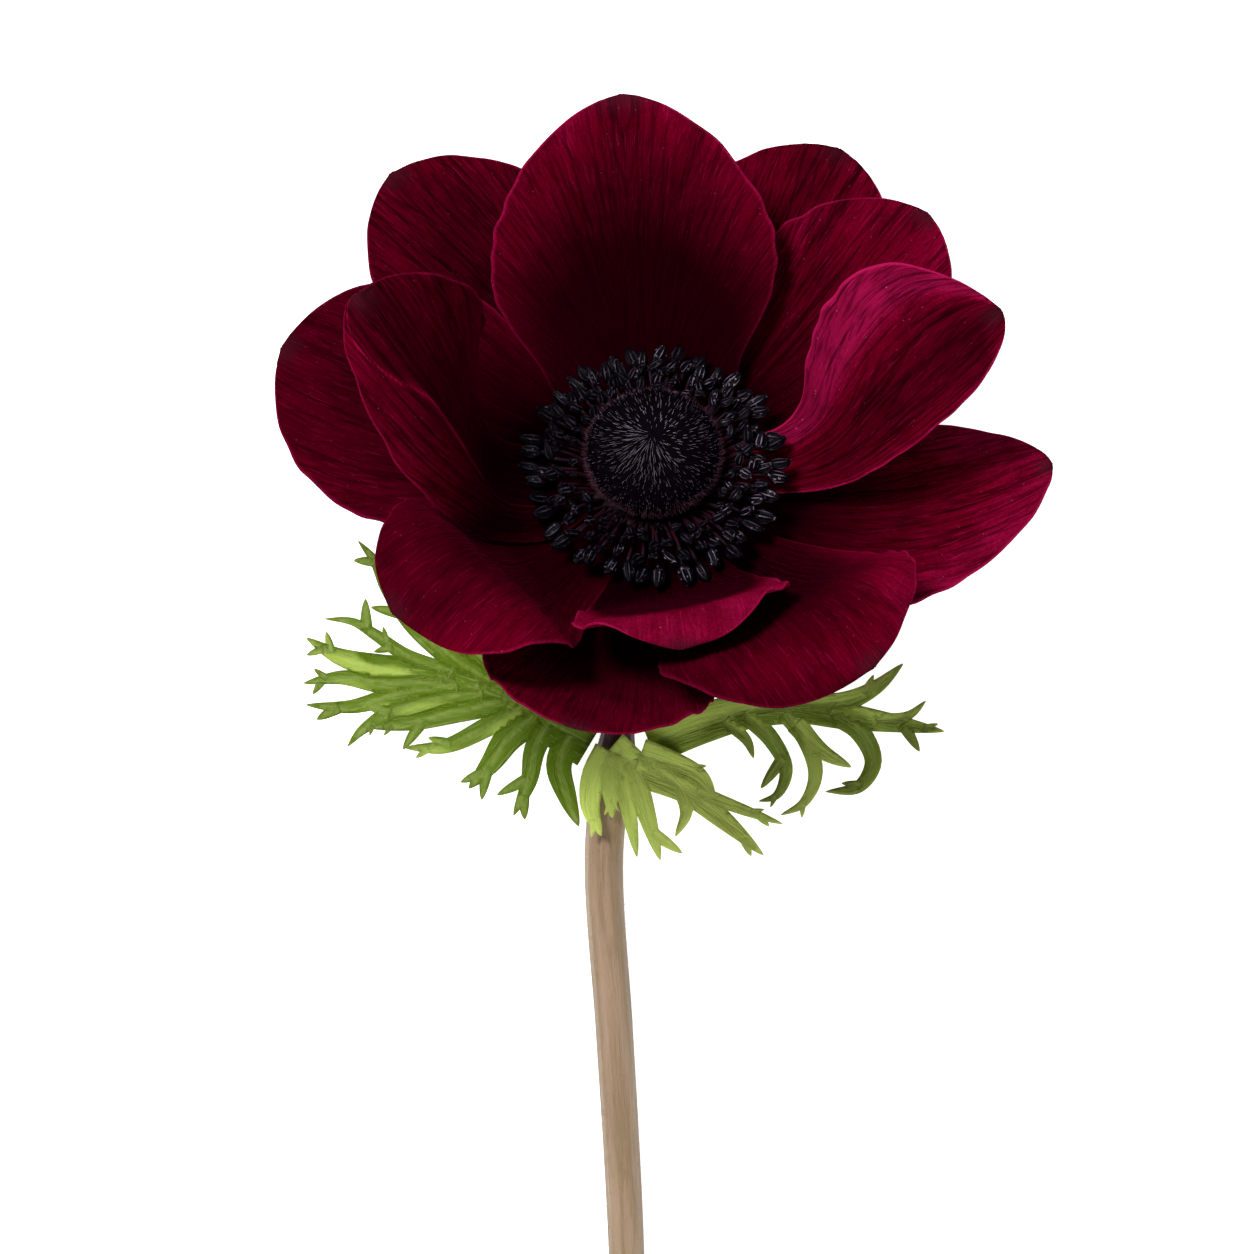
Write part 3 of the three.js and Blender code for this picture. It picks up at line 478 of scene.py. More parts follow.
class Value:
    """A number that a shader works out: its sums, products and powers are Math nodes."""

    def __init__(self, tree, socket):
        self.tree = tree
        self.socket = socket

    def worked(self, operation, other=0.0):
        node = put(self.tree, "ShaderNodeMath", {0: self, 1: other}, operation=operation)
        return Value(self.tree, node.outputs[0])

    def __add__(self, other):
        return self.worked("ADD", other)

    def __sub__(self, other):
        return self.worked("SUBTRACT", other)

    def __mul__(self, other):
        return self.worked("MULTIPLY", other)

    def __pow__(self, other):
        return self.worked("POWER", other)

    def __abs__(self):
        return self.worked("ABSOLUTE")

    __radd__ = __add__
    __rmul__ = __mul__

    def ramp(self, low, high):
        """A clamped change from 0 at low to 1 at high, eased at both ends."""
        node = put(self.tree, "ShaderNodeMapRange", {0: self, 1: low, 2: high},
                   interpolation_type="SMOOTHSTEP")
        return Value(self.tree, node.outputs[0])

    def uneven(self, by, spread):
        """The value, brighter and darker by half the spread as another goes from 0 to 1."""
        return self * (1 - spread / 2 + spread * by)


def put(tree, kind, inputs, **settings):
    """Adds a shader node, sets its settings and gives each input its value or its link."""
    node = tree.nodes.new(kind)
    for key, value in settings.items():
        setattr(node, key, value)
    for key, value in inputs.items():
        if isinstance(value, Value):
            tree.links.new(value.socket, node.inputs[key])
        else:
            node.inputs[key].default_value = value
    return node


def noise(tree, place, scale, detail, roughness, distortion=0.0):
    """Noise between 0 and 1 at a place."""
    node = put(tree, "ShaderNodeTexNoise", {
        "Vector": place, "Scale": scale, "Detail": detail, "Roughness": roughness,
        "Distortion": distortion})
    return Value(tree, node.outputs[0])


def new_group(name, defaults):
    """An empty shader node group with an input for each default, a place where that is None,
    and one output."""
    tree = bpy.data.node_groups.new(name, "ShaderNodeTree")
    for key, default in defaults.items():
        kind = "NodeSocketVector" if default is None else "NodeSocketFloat"
        socket = tree.interface.new_socket(key, in_out="INPUT", socket_type=kind)
        if default is not None:
            socket.default_value = default
    tree.interface.new_socket("Value", in_out="OUTPUT", socket_type="NodeSocketFloat")
    given = tree.nodes.new("NodeGroupInput").outputs
    return tree, [Value(tree, given[key]) for key in defaults]


def streak_group(name):
    """Lengthwise streaks: noise in a space stretched along the blade, so that its cells become
    long fibres. Across and Along place it, Seed moves it, and Fineness is fibres per unit."""
    tree, (across, along, seed, fineness, length) = new_group(name, {
        "Across": 0.0, "Along": 0.0, "Seed": 0.0, "Fineness": 20.0, "Length": 3.0})
    place = put(tree, "ShaderNodeCombineXYZ", {
        0: across * fineness, 1: along * length, 2: seed * SEED_STEP})
    fibres = noise(tree, Value(tree, place.outputs[0]), scale=1.0, detail=4.0, roughness=0.6,
                   distortion=0.25)
    put(tree, "NodeGroupOutput", {"Value": fibres.ramp(0.25, 0.75)})
    return tree


def grain_group(name):
    """Cell grain: fine noise on a place in space, centred on a half."""
    tree, (place, scale) = new_group(name, {"Place": None, "Scale": 4000.0})
    put(tree, "NodeGroupOutput", {"Value": noise(tree, place, scale, detail=2.0, roughness=0.5)})
    return tree


class Material:
    """A material with a Principled shader, whose even values are set on its own sockets, and
    short ways to add what its colour and its relief are made of."""

    def __init__(self, name, constants):
        self.data = bpy.data.materials.new(name)
        self.data.use_nodes = True
        self.tree = self.data.node_tree
        self.shader = next(node for node in self.tree.nodes if node.type == "BSDF_PRINCIPLED")
        for key, value in constants.items():
            self.shader.inputs[key].default_value = value

    def field(self, name):
        """The value of one of the mesh's own attributes."""
        node = put(self.tree, "ShaderNodeAttribute", {}, attribute_name=name)
        return Value(self.tree, node.outputs["Fac"])

    def place(self):
        """The place in the object's own space, in metres."""
        return Value(self.tree, put(self.tree, "ShaderNodeTexCoord", {}).outputs["Object"])

    def grouped(self, name, make, inputs):
        """Places a node group with its own values, making it where it is new."""
        group = bpy.data.node_groups.get(name) or make(name)
        node = put(self.tree, "ShaderNodeGroup", inputs, node_tree=group)
        return Value(self.tree, node.outputs[0])

    def streaks(self, across, along, seed, fineness, length):
        return self.grouped("Lengthwise Streaks", streak_group, {
            "Across": across, "Along": along, "Seed": seed, "Fineness": fineness, "Length": length})

    def grain(self, place, scale):
        return self.grouped("Cell Grain", grain_group, {"Place": place, "Scale": scale})

    def mix(self, factor, a, b):
        """The colour a where the factor is 0 and b where it is 1."""
        a, b = (end if isinstance(end, Value) else (*end, 1.0) for end in (a, b))
        node = put(self.tree, "ShaderNodeMix", {0: factor, 6: a, 7: b}, data_type="RGBA")
        return Value(self.tree, node.outputs[2])

    def finish(self, colour, relief=None, depth=0.0):
        """Feeds the colour, and the relief through a Bump node, its depth in millimetres."""
        self.tree.links.new(colour.socket, self.shader.inputs["Base Color"])
        if relief:
            node = put(self.tree, "ShaderNodeBump", {"Distance": depth * MM, "Height": relief})
            self.tree.links.new(node.outputs[0], self.shader.inputs["Normal"])
        return self.data


# Materials

# Each kind of streak on a tepal, how fine it is and how long, and what the relief is made of
TEPAL_STREAKS = dict(
    fold=dict(fineness=6.0, length=1.6), fine=dict(fineness=28.0, length=2.6),
    hair=dict(fineness=80.0, length=12.0), branch=dict(fineness=26.0, length=6.0))
TEPAL_RELIEF = dict(fine=0.6, hair=0.25, fold=0.8, branch=0.5, grain=0.35)

# The marks on a tepal, from the first laid on: where each is seen, from none to all as that goes
# from low to high, how strong it is, what else it grows with, and its colour
TEPAL_MARKS = (
    # The first and the last mark are painted highlights: pink where brightest and at the margin
    dict(seen="light", low=0.85, high=1.55, strength=0.60, grows=None, colour="tepal_pink_and_highlight"),
    dict(seen="fine", low=0.52, high=0.14, strength=0.66, grows="veins", colour="tepal_dark"),
    dict(seen="branch", low=0.48, high=0.16, strength=0.48, grows="veins", colour="tepal_dark"),
    dict(seen="mottle", low=0.58, high=0.34, strength=0.30, grows=None, colour="tepal_dark"),
    dict(seen="hair", low=0.72, high=0.98, strength=0.40, grows="light", colour="tepal_pink_and_highlight"),
    dict(seen="edge", low=0.97, high=1.0, strength=0.45, grows="light", colour="tepal_pink_and_highlight"),
)
BRANCH_SLANT = 0.55
SPECK_STRENGTH = 0.24


def tepal_material(colours):
    """Velvety crimson with painted light and shade: near black from the claw up the middle, partly
    its own colour and partly painted shade, brighter to the margins, pink as a painted highlight
    where it is brightest and along the very margin, with fine dark veins that fan out, soft folds,
    pale fibres and specks, and a dark spot at the tip."""
    velvet = Material("tepal velvet", {
        "Roughness": 0.6, "Specular IOR Level": 0.0, "Sheen Weight": 0.05,
        "Sheen Roughness": 0.35, "Sheen Tint": (*colours.tepal_sheen, 1.0)})
    part = {name: velvet.field(name) for name in ("vein", "along", "edge", "seed", "veins")}
    vein, along, place = part["vein"], part["along"], velvet.place()
    slant = abs(vein) - along * BRANCH_SLANT
    for name, size in TEPAL_STREAKS.items():
        across = slant if name == "branch" else vein
        part[name] = velvet.streaks(across, along, part["seed"], **size)
    part["mottle"] = noise(velvet.tree, place, scale=190.0, detail=4.0, roughness=0.62)
    part["grain"] = velvet.grain(place, 3600.0)
    # The light field is the dark base with painted light and shade, varied by folds and grain
    light = velvet.field("light").uneven(part["fold"], 0.24).uneven(part["grain"], 0.56)
    part["light"] = light

    colour = velvet.mix(light, colours.tepal_dark, colours.tepal_lit)
    for mark in TEPAL_MARKS:
        shown = part[mark["seen"]].ramp(mark["low"], mark["high"]) * mark["strength"]
        if mark["grows"]:
            shown = shown * part[mark["grows"]]
        colour = velvet.mix(shown, colour, getattr(colours, mark["colour"]))
    tip = along.ramp(0.93, 1.0) * abs(vein).ramp(0.22, 0.04) * (0.25 + part["mottle"] * 0.8)
    colour = velvet.mix(tip, colour, colours.tepal_tip)

    cells = put(velvet.tree, "ShaderNodeTexVoronoi", {"Vector": place, "Scale": 1500.0})
    drawn = put(velvet.tree, "ShaderNodeSeparateColor", {
        0: Value(velvet.tree, cells.outputs["Color"])})
    chosen = Value(velvet.tree, drawn.outputs[0]).ramp(0.86, 0.88)
    dot = Value(velvet.tree, cells.outputs["Distance"]).ramp(0.17, 0.07)
    colour = velvet.mix(dot * chosen * light * SPECK_STRENGTH, colour, colours.tepal_speck)
    relief = sum(part[name] * weight for name, weight in TEPAL_RELIEF.items())
    return velvet.finish(colour, relief, depth=0.20)


def dome_material(colours):
    """Near black skin between the papillae, faintly purple where the grain is high."""
    skin = Material("pistil skin", {"Roughness": 0.6, "Specular IOR Level": 0.0})
    grain = skin.grain(skin.place(), 2600.0)
    return skin.finish(skin.mix(grain, colours.pistil_dark, colours.pistil_light), grain,
                       depth=0.15)


def papilla_material(colours):
    """Dark bristles, each with its own tone, the brighter ones ending in painted glints."""
    bristle = Material("papillae", {"Roughness": 0.35, "Specular IOR Level": 0.0})
    tone = bristle.field("tone")
    colour = bristle.mix(tone, colours.pistil_dark, colours.pistil_light)
    return bristle.finish(bristle.mix(bristle.field("tip") * tone, colour, colours.papilla_glint))


def thread_material(name, upper, foot, shade):
    """Threads that change from the colour of their foot to that of their upper part, some of
    them darker than others."""
    thread = Material(name, {"Roughness": 0.4, "Specular IOR Level": 0.05})
    colour = thread.mix(thread.field("along"), foot, upper)
    return thread.finish(thread.mix(thread.field("tone") * 0.5, colour, shade))


def anther_material(colours):
    """Blue black anthers, black in their grooves and finely grainy, grey along their crests as a
    painted highlight, with pale specks that are painted glints."""
    sac = Material("anthers", {"Roughness": 0.35, "Specular IOR Level": 0.04})
    tone, place = sac.field("tone"), sac.place()
    grain = sac.grain(place, 6500.0)
    # Painted highlight: grey along the crests, brighter on anthers of higher tone
    light = sac.field("ridge").ramp(0.58, 1.0) * (grain * 0.36 + tone ** 2.0)
    colour = sac.mix(light, colours.anther_dark, colours.anther_crest_highlight)
    # Painted glints: pale specks, more of them on the brighter anthers
    anther_glint = noise(sac.tree, place, scale=2600.0, detail=2.0, roughness=0.6).ramp(0.62, 0.72)
    anther_glint = anther_glint * (0.12 + tone * 0.6)
    return sac.finish(sac.mix(anther_glint, colour, colours.anther_glint), grain, depth=0.08)


def leaf_material(colours):
    """Fresh yellow green: darker in soft patches and at the margins, each lobe lighter on one side
    of its rib than the other as painted light and shade, paler along the ribs and the fine veins
    that run beside them, and palest on the leaf over the stem, as painted light."""
    blade = Material("leaf blade", {
        "Roughness": 0.5, "Specular IOR Level": 0.12,
        "Subsurface Weight": 0.08, "Subsurface Scale": 0.001})
    place = blade.place()
    patch = noise(blade.tree, place, scale=90.0, detail=1.0, roughness=0.5)
    patch = patch + blade.field("lobe") * 0.30
    vein = blade.streaks(blade.field("across"), blade.field("along"), 3.1, fineness=2.4, length=0.25)
    colour = blade.mix(patch.ramp(0.49, 0.70), colours.leaf_dark, colours.leaf_light)
    # Painted light: the leaf over the stem lifted towards a paler green
    colour = blade.mix(blade.field("pale"), colour, colours.leaf_painted_light)
    colour = blade.mix(vein.ramp(0.55, 1.0) * 0.22, colour, colours.leaf_rib)
    colour = blade.mix(blade.field("rib") * 0.30, colour, colours.leaf_rib)
    colour = blade.mix(blade.field("margin") * 0.10, colour, colours.leaf_dark)
    return blade.finish(colour, vein * 0.8 + blade.grain(place, 4000.0) * 0.35, depth=0.14)


def stem_material(colours):
    """Pinkish brown stem with long soft streaks, greener to the cut end, dark maroon above the
    leaves, and pale pith on the cut face."""
    skin = Material("stem skin", {
        "Roughness": 0.5, "Specular IOR Level": 0.3, "Sheen Weight": 0.15})
    along, around = skin.field("along"), skin.field("around")
    streak = skin.streaks(around, along, 1.7, fineness=5.0, length=0.06)
    thread = skin.streaks(around, along, 4.2, fineness=26.0, length=0.4)
    colour = skin.mix(streak.ramp(0.2, 0.9), colours.stem_shade, colours.stem_light)
    colour = skin.mix(thread.ramp(0.5, 1.0) * 0.25, colour, colours.stem_light)
    colour = skin.mix(along.ramp(30.0, 120.0) * 0.30, colour, colours.stem_green)
    colour = skin.mix(skin.field("above"), colour, colours.stalk)
    colour = skin.mix(skin.field("pith"), colour, colours.pith)
    return skin.finish(colour, thread + skin.grain(skin.place(), 3500.0) * 0.4, depth=0.10)


def floor_material(colours):
    """A pale matt surface that glows a little, as a lit table does, so shadows stay soft."""
    matt = Material("pale floor", {
        "Roughness": 0.8, "Specular IOR Level": 0.1, "Emission Color": (1, 1, 1, 1),
        "Emission Strength": 0.86})
    cloudy = noise(matt.tree, matt.place(), scale=12.0, detail=2.0, roughness=0.5) * 0.04
    return matt.finish(matt.mix(cloudy, colours.floor, colours.floor_lit))


# What a user may change

def count_property(name, description, default, least):
    """A number of pieces or points."""
    return IntProperty(name=name, description=description, default=default, min=least)


def length_property(name, description, default):
    """A length, its default in millimetres."""
    return FloatProperty(name=name, description=description, default=default * MM, unit="LENGTH",
                         min=0)


def colour_property(name, description, default):
    """A colour as linear red, green and blue."""
    return FloatVectorProperty(name=name, description=description, default=default,
                               subtype="COLOR", size=3, min=0, max=1)


class AnemoneSizes(bpy.types.PropertyGroup):
    tepal_rows: count_property("Tepal rows", "Rows of points along a tepal", 84, 8)
    tepal_columns: count_property("Tepal columns", "Points across a tepal", 121, 9)
    tepal_thickness: length_property("Tepal thickness", "Thickness of a tepal's middle", 0.52)
    vein_depth: length_property("Vein depth", "Height of the vein relief", 0.10)
    margin_notch: FloatProperty(name="Margin notches", subtype="FACTOR", default=0.028, min=0,
                                description="Unevenness of a tepal's outline, part of its width")
    margin_ruffle: length_property("Margin ruffle", "Height of the ruffles at the margin", 0.45)
    papillae: count_property("Papillae", "Bristles on the pistil head", 5600, 10)
    papilla_length: length_property("Papilla length", "Length of a bristle", 0.6)
    fringe: count_property("Fringe hairs", "Hairs round the foot of the pistil head", 1200, 10)
    stem_sides: count_property("Stem sides", "Points round the stem", 48, 8)
    stem_hairs: count_property("Stem hairs", "Fine hairs on the stem", 700, 10)
    leaf_spacing: length_property("Leaf spacing", "Distance between a leaf's points", 0.5)
    leaf_thickness: length_property("Leaf thickness", "Thickness of a leaf", 0.42)


class AnemoneColours(bpy.types.PropertyGroup):
    tepal_lit: colour_property("Tepal crimson", "Towards the margins", (0.138, 0.0, 0.0115))
    tepal_dark: colour_property("Tepal dark", "At the claw and in the veins", (0.005, 0.0, 0.0008))
    # Tepal pink is also the painted highlight where a tepal is brightest and along its margin
    tepal_pink_and_highlight: colour_property("Tepal pink", "Pale streaks and the very margin", (0.34, 0.006, 0.062))
    tepal_tip: colour_property("Tepal tip", "Dark spot at a tip", (0.045, 0.006, 0.012))
    tepal_speck: colour_property("Tepal speck", "Tiny pale specks", (0.55, 0.12, 0.20))
    tepal_sheen: colour_property("Tepal sheen", "Velvet sheen", (1.0, 0.015, 0.16))
    pistil_dark: colour_property("Pistil dark", "Pistil head", (0.0015, 0.001, 0.002))
    pistil_light: colour_property("Pistil light", "Lighter bristles", (0.004, 0.002, 0.0045))
    # The bristles' pale ends are painted glints
    papilla_glint: colour_property("Papilla tip", "Ends of the bristles", (0.72, 0.58, 0.76))
    fringe: colour_property("Fringe", "Hairs round the pistil head", (0.13, 0.055, 0.08))
    fringe_foot: colour_property("Fringe foot", "Foot of those hairs", (0.09, 0.014, 0.025))
    filament: colour_property("Filament", "Filaments", (0.016, 0.006, 0.014))
    filament_foot: colour_property("Filament foot", "Foot of the filaments", (0.045, 0.005, 0.010))
    anther_dark: colour_property("Anther dark", "Grooves of the anthers", (0.0018, 0.0012, 0.0030))
    # Painted highlight along the anthers' crests
    anther_crest_highlight: colour_property("Anther ridge", "Ridges of the anthers", (0.27, 0.22, 0.31))
    # Painted glints on the anthers
    anther_glint: colour_property("Pollen", "Grains of pollen", (0.42, 0.34, 0.42))
    leaf_light: colour_property("Leaf light", "Light parts of the leaves", (0.31, 0.42, 0.065))
    leaf_dark: colour_property("Leaf dark", "Dark parts of the leaves", (0.085, 0.15, 0.003))
    # Painted light that brightens the leaf over the stem
    leaf_painted_light: colour_property("Leaf pale", "The leaf over the stem", (0.66, 0.82, 0.17))
    leaf_rib: colour_property("Leaf rib", "Ribs of the leaves", (0.42, 0.50, 0.15))
    stem_light: colour_property("Stem light", "Light streaks of the stem", (0.335, 0.225, 0.145))
    stem_shade: colour_property("Stem shade", "Dark streaks of the stem", (0.25, 0.165, 0.092))
    stem_green: colour_property("Stem green", "Tinge towards the cut end", (0.33, 0.29, 0.13))
    stalk: colour_property("Stalk", "Stalk above the leaves", (0.07, 0.017, 0.022))
    pith: colour_property("Pith", "Cut face", (0.55, 0.52, 0.32))
    floor: colour_property("Floor", "Pale floor", (0.86, 0.86, 0.86))
    floor_lit: colour_property("Floor cloud", "Paler clouds on the floor", (0.9, 0.9, 0.9))


# Tepals

def half_width(blade, s):
    """The blade opens from the claw as a sine raised to the power flare, up to the widest
    place, then closes as one less a power of the way left, raised to the power blunt."""
    claw, widest = blade["claw"] / blade["half"], blade["widest"]
    opening = np.sin(np.pi / 2 * np.clip(s / widest, 0, 1)) ** blade["flare"]
    past = np.clip((s - widest) / (1 - widest), 0, 1)
    closing = (1 - past ** blade["round"]) ** blade["blunt"]
    wide = blade["half"] * np.where(s < widest, claw + (1 - claw) * opening, closing)
    return np.maximum(wide, LEAST_HALF_WIDTH)


def swung(first, second, angle):
    """Two directions turned by an angle in their own plane, the first towards the second."""
    c, s = np.cos(angle)[:, None], np.sin(angle)[:, None]
    return first * c + second * s, second * c - first * s


def midrib_frame(blade, s):
    """Tangent, side and normal of the midrib: its slope climbs and falls by S-curves, its
    heading turns by one, and side and normal are rolled about the tangent."""
    fall, fall_from = blade["lip"]
    slope = between(blade["slope"], eased(s, *blade["climb"])) + fall * eased(s, fall_from, 1)
    heading = np.radians(blade["heading"] + blade["turn"] * eased(s, TURN_FROM, 1))
    tangent, normal = swung(in_plane(heading), UP, np.radians(slope))
    roll = np.radians(between(blade["roll"], smooth(s / ROLL_BY)))
    side, normal = swung(in_plane(heading + np.pi / 2), normal, roll)
    return tangent, side, normal


def midrib_line(blade, s, steps=600):
    """The midrib's points: its tangent summed up from the root in many short steps."""
    fine = np.linspace(0, 1, steps + 1)
    tangent = midrib_frame(blade, (fine[1:] + fine[:-1]) / 2)[0]
    travelled = np.vstack([np.zeros(3), np.cumsum(tangent * blade["length"] / steps, axis=0)])
    root = in_plane(np.radians(blade["heading"])) * blade["root"] + UP * blade["foot"]
    return root + read_off(s, fine, travelled)


def cross_section(blade, s, t, steps=30):
    """Across and lift of each point, for a half width of one: the section's direction turns by
    cup times t, and by the crease beyond the fold of its right half, and is summed up from the
    midrib."""
    angle, begin = blade["crease"]
    cup = np.radians(between(blade["cup"], s))[:, None, None]
    crease = np.radians(angle) * smooth((s - begin) / FOLD_ROUNDING)[:, None, None]
    folded = between(blade["fold"], s)[:, None, None]
    part = t[None, :, None] * ((np.arange(steps) + 0.5) / steps)
    turn = cup * part + crease * smooth((part - folded) / FOLD_ROUNDING)
    return t * np.cos(turn).mean(-1), t * np.sin(turn).mean(-1)


def at_margins(rng, s, t, kind):
    """Unevenness that the left and the right margin each have of their own, from -1 to 1, and
    that sets in past the claw."""
    left = ripple(rng, **kind)(s)
    right = ripple(rng, **kind)(s)
    return np.where(t < 0, left, right) * eased(s, *UNEVEN_FROM)


def tepal_tone_and_painted_light(blade, look, s, t):
    """How bright each point is, a dark base of its own with painted light and shade: an S-curve
    along the blade that begins sooner at the margins, plus the painted sheen or shade that its
    margins add, and on a folded blade a painted highlight on the ridge with painted shade
    on its inner side."""
    margin = np.where(t < 0, look["left"], look["right"]) * np.abs(t) ** look["narrow"]
    light = (look["level"] * eased(s + LIGHT_BOW * t**2, look["dark_to"], look["full_at"])
             + margin * smooth(s * FADE_IN))
    if blade["crease"][0]:
        ridge = between((FOLD_PAINTED_LIGHT["low"], FOLD_PAINTED_LIGHT["high"]), eased(s, FOLD_PAINTED_LIGHT["rise_from"], 1))
        inside = smooth((ridge - t) / FOLD_PAINTED_LIGHT["fade"])
        on_ridge = np.exp(-((t - ridge) / FOLD_PAINTED_LIGHT["width"]) ** 2) * smooth(s * FADE_IN)
        light = light * (1 - FOLD_PAINTED_LIGHT["shade"] * inside) + FOLD_PAINTED_LIGHT["glow"] * on_ridge
    return np.maximum(light, look["least"])


def vein_relief(rng, vein, s):
    """Ridges along the veins: a seeded sum of cosines across the fan of veins, whose phases
    wander with the way along the blade, from -1 to 1."""
    total = np.zeros_like(vein)
    weights = 0.0
    for frequency in rng.uniform(VEINS["low"], VEINS["high"], VEINS["count"]):
        weight = 1.0 / math.sqrt(frequency)
        phase = rng.uniform(0, 2 * np.pi)
        wander, swing = rng.uniform(0.3, 1.0, 2)
        start = rng.uniform(0, 6)
        wander = VEINS["wander"] * wander * np.sin(2 * np.pi * swing * s + start)
        total += weight * np.cos(2 * np.pi * frequency * vein + phase + wander)
        weights += weight
    return np.tanh(VEINS["sharp"] * total / weights)


def tepal_surface(name, sizes, seed):
    """The blade's middle surface with its fields: midrib point plus the cross-section scaled by
    the half width, waved at the margins, and raised or lowered by the vein relief."""
    blade, look = {**TEPAL, **TEPALS[name]}, {**TEPAL_LOOK, **TEPAL_LOOKS[name]}
    rng = np.random.default_rng(seed)
    even = np.linspace(0, 1, sizes.tepal_rows)
    way = ROW_CROWDING * np.sin(np.pi / 2 * even) + (1 - ROW_CROWDING) * even
    s, t = way[:, None], np.linspace(-1, 1, sizes.tepal_columns)
    side_width = np.where(t < 0, *blade["wide"])
    notches = sizes.margin_notch * at_margins(rng, s, t, NOTCHES) * t**2
    wider = CLAW_WIDER["by"] * np.exp(-((s - CLAW_WIDER["at"]) / CLAW_WIDER["over"]) ** 2)
    width = half_width(blade, s) * side_width * (1 + notches) * (1 + wider)
    quarter = np.where(t < 0, 0, 0.25)
    wave = blade["wave"] * smooth(s) * t**2 * np.sin(2 * np.pi * (blade["waves"] * s + quarter))
    ruffle = at_margins(rng, s, t, RUFFLES) * np.abs(t) ** 5

    fan_out = blade["half"] * (FAN["foot"] + FAN["spread"] * s ** FAN["power"])
    side = blade["half"] * np.maximum(side_width, FAN["least_side"])
    outline = np.abs(width) + FAN["past_outline"] * side
    vein = t * width / (fan_out + look["follow"] * (outline - fan_out))
    relief = vein_relief(rng, vein, s) * look["veins"] * smooth(s * FADE_IN)
    relief = relief * (1 - VEINS["margin_fade"] * t**6)

    across, lift = cross_section(blade, way, t)
    height = (lift * width + wave + millimetres(sizes.margin_ruffle) * ruffle
              + millimetres(sizes.vein_depth) * relief)
    side, normal = (axis[:, None] for axis in midrib_frame(blade, way)[1:])
    local = (midrib_line(blade, way)[:, None] + side * (across * width)[..., None]
             + normal * height[..., None])
    fields = dict(vein=vein, along=s, edge=np.abs(t), seed=seed, veins=look["veins"],
                  light=tepal_tone_and_painted_light(blade, look, s, t))
    return to_bloom(local), {key: np.broadcast_to(values, vein.shape)
                             for key, values in fields.items()}


def blade_solid(grid, thickness):
    """Two faces off a middle surface along its normals by half the thickness, joined round the
    margin over a middle ring that stands out a little, so that the edge is round. What would
    sink into the floor is laid on it."""
    rows, columns = grid.shape[:2]
    count = rows * columns
    normal = unit(np.cross(np.gradient(grid, axis=0), np.gradient(grid, axis=1))).reshape(-1, 3)
    middle, thickness = grid.reshape(-1, 3), thickness.ravel()
    upper, lower = (middle + hand * normal * thickness[:, None] / 2 for hand in (1, -1))
    upper[:, 2] = np.maximum(upper[:, 2], thickness)
    lower[:, 2] = np.maximum(lower[:, 2], 0.0)
    index = np.arange(count).reshape(rows, columns)
    rim = np.concatenate([index[0, :-1], index[:-1, -1], index[-1, :0:-1], index[:0:-1, 0]])
    ring = (upper[rim] + lower[rim]) / 2
    ahead = unit(np.roll(ring, -1, axis=0) - np.roll(ring, 1, axis=0))
    ring = ring + unit(np.cross(normal[rim], ahead)) * thickness[rim, None] * EDGE["rounding"]
    ring[:, 2] = np.maximum(ring[:, 2], EDGE["least_height"])
    under = strip_quads(rows, columns, closed=False)
    after, place = np.roll(rim, -1), 2 * count + np.arange(len(rim))
    next_place = np.roll(place, -1)
    edges = [np.stack([rim, after, next_place, place], -1),
             np.stack([place, next_place, after + count, rim + count], -1)]
    return np.vstack([upper, lower, ring]), [under[:, ::-1], under + count, *edges], rim


class ANEMONE_OT_tepals(bpy.types.Operator):
    """Build the twelve tepals"""
    bl_idname = "anemone.tepals"
    bl_label = "Tepals"

    def execute(self, context):
        sizes = context.scene.anemone_sizes
        material = tepal_material(context.scene.anemone_colours)
        for number, name in enumerate(TEPALS):
            grid, fields = tepal_surface(name, sizes, number + SEEDS["tepals"])
            thin = 1 - EDGE["thinning"] * fields["edge"] ** 3
            points, faces, rim = blade_solid(grid, millimetres(sizes.tepal_thickness) * thin)
            fields = {key: np.concatenate([values.ravel(), values.ravel(), values.ravel()[rim]])
                      for key, values in fields.items()}
            piece = new_piece(name + "_blade", points, faces, material, fields)
            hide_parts(name)
        return {"FINISHED"}


# Pistil head

GOLDEN_ANGLE = math.pi * (3 - math.sqrt(5))

# The bristles: how they lie, how many carry painted glints, and the side of the dome whose
# upper bristles are longer and paler, a painted highlight
PAPILLA = dict(covers=1.72, lowest=0.05, held=(0.03, 0.999), strays=(0.05, 0.004),
               length=(0.7, 1.2), radius=(0.026, 0.042), sunk=0.12, lean=0.15, combed=2.2,
               combed_from=(0.55, 1), swirl=0.35, untidy=0.09, droop=0.2, lit=0.30,
               lit_tone=0.22, dark_tone=0.01)
HIGHLIGHT_SIDE = dict(angle=math.radians(235), reach=0.15, longer=1.1, more_lit=0.60, dimmer=0.62)
FRINGE = dict(place=(0.16, 0.42), upright=(0.1, 0.9), length=(0.7, 1.15), radius=(0.020, 0.034),
              sunk=0.15, untidy=0.12, droop=0.25)

# How pale a bristle is at each of its rings and at its tip, low on the dome and at its top:
# its painted glint
GLINT_ENDS = (((0.0, 0.0, 0.15), 1.3), ((0.1, 0.5, 0.6), 0.6))
DOME_SKIN = dict(rows=40, sides=72, span=(0.04, 0.985))


def dome_place(fraction, turn):
    """A point, the outward and the downhill direction on the dome, from 0 at its open foot to 1
    at the apex: its radius and height follow an ellipse."""
    def round_axis(out, up):
        return bloom_point(out * np.cos(turn), out * np.sin(turn), up)

    angle = np.pi * (DOME["opening"] + (1 - DOME["opening"]) * fraction)
    middle, rise = (DOME["foot"] + DOME["top"]) / 2, (DOME["top"] - DOME["foot"]) / 2
    out, up = np.sin(angle) / DOME["radius"], -np.cos(angle) / rise
    size = np.hypot(out, up)
    out, up = out / size, up / size
    return (round_axis(DOME["radius"] * np.sin(angle), middle - rise * np.cos(angle)),
            round_axis(out, up) - BLOOM_CENTRE, round_axis(up, -out) - BLOOM_CENTRE)


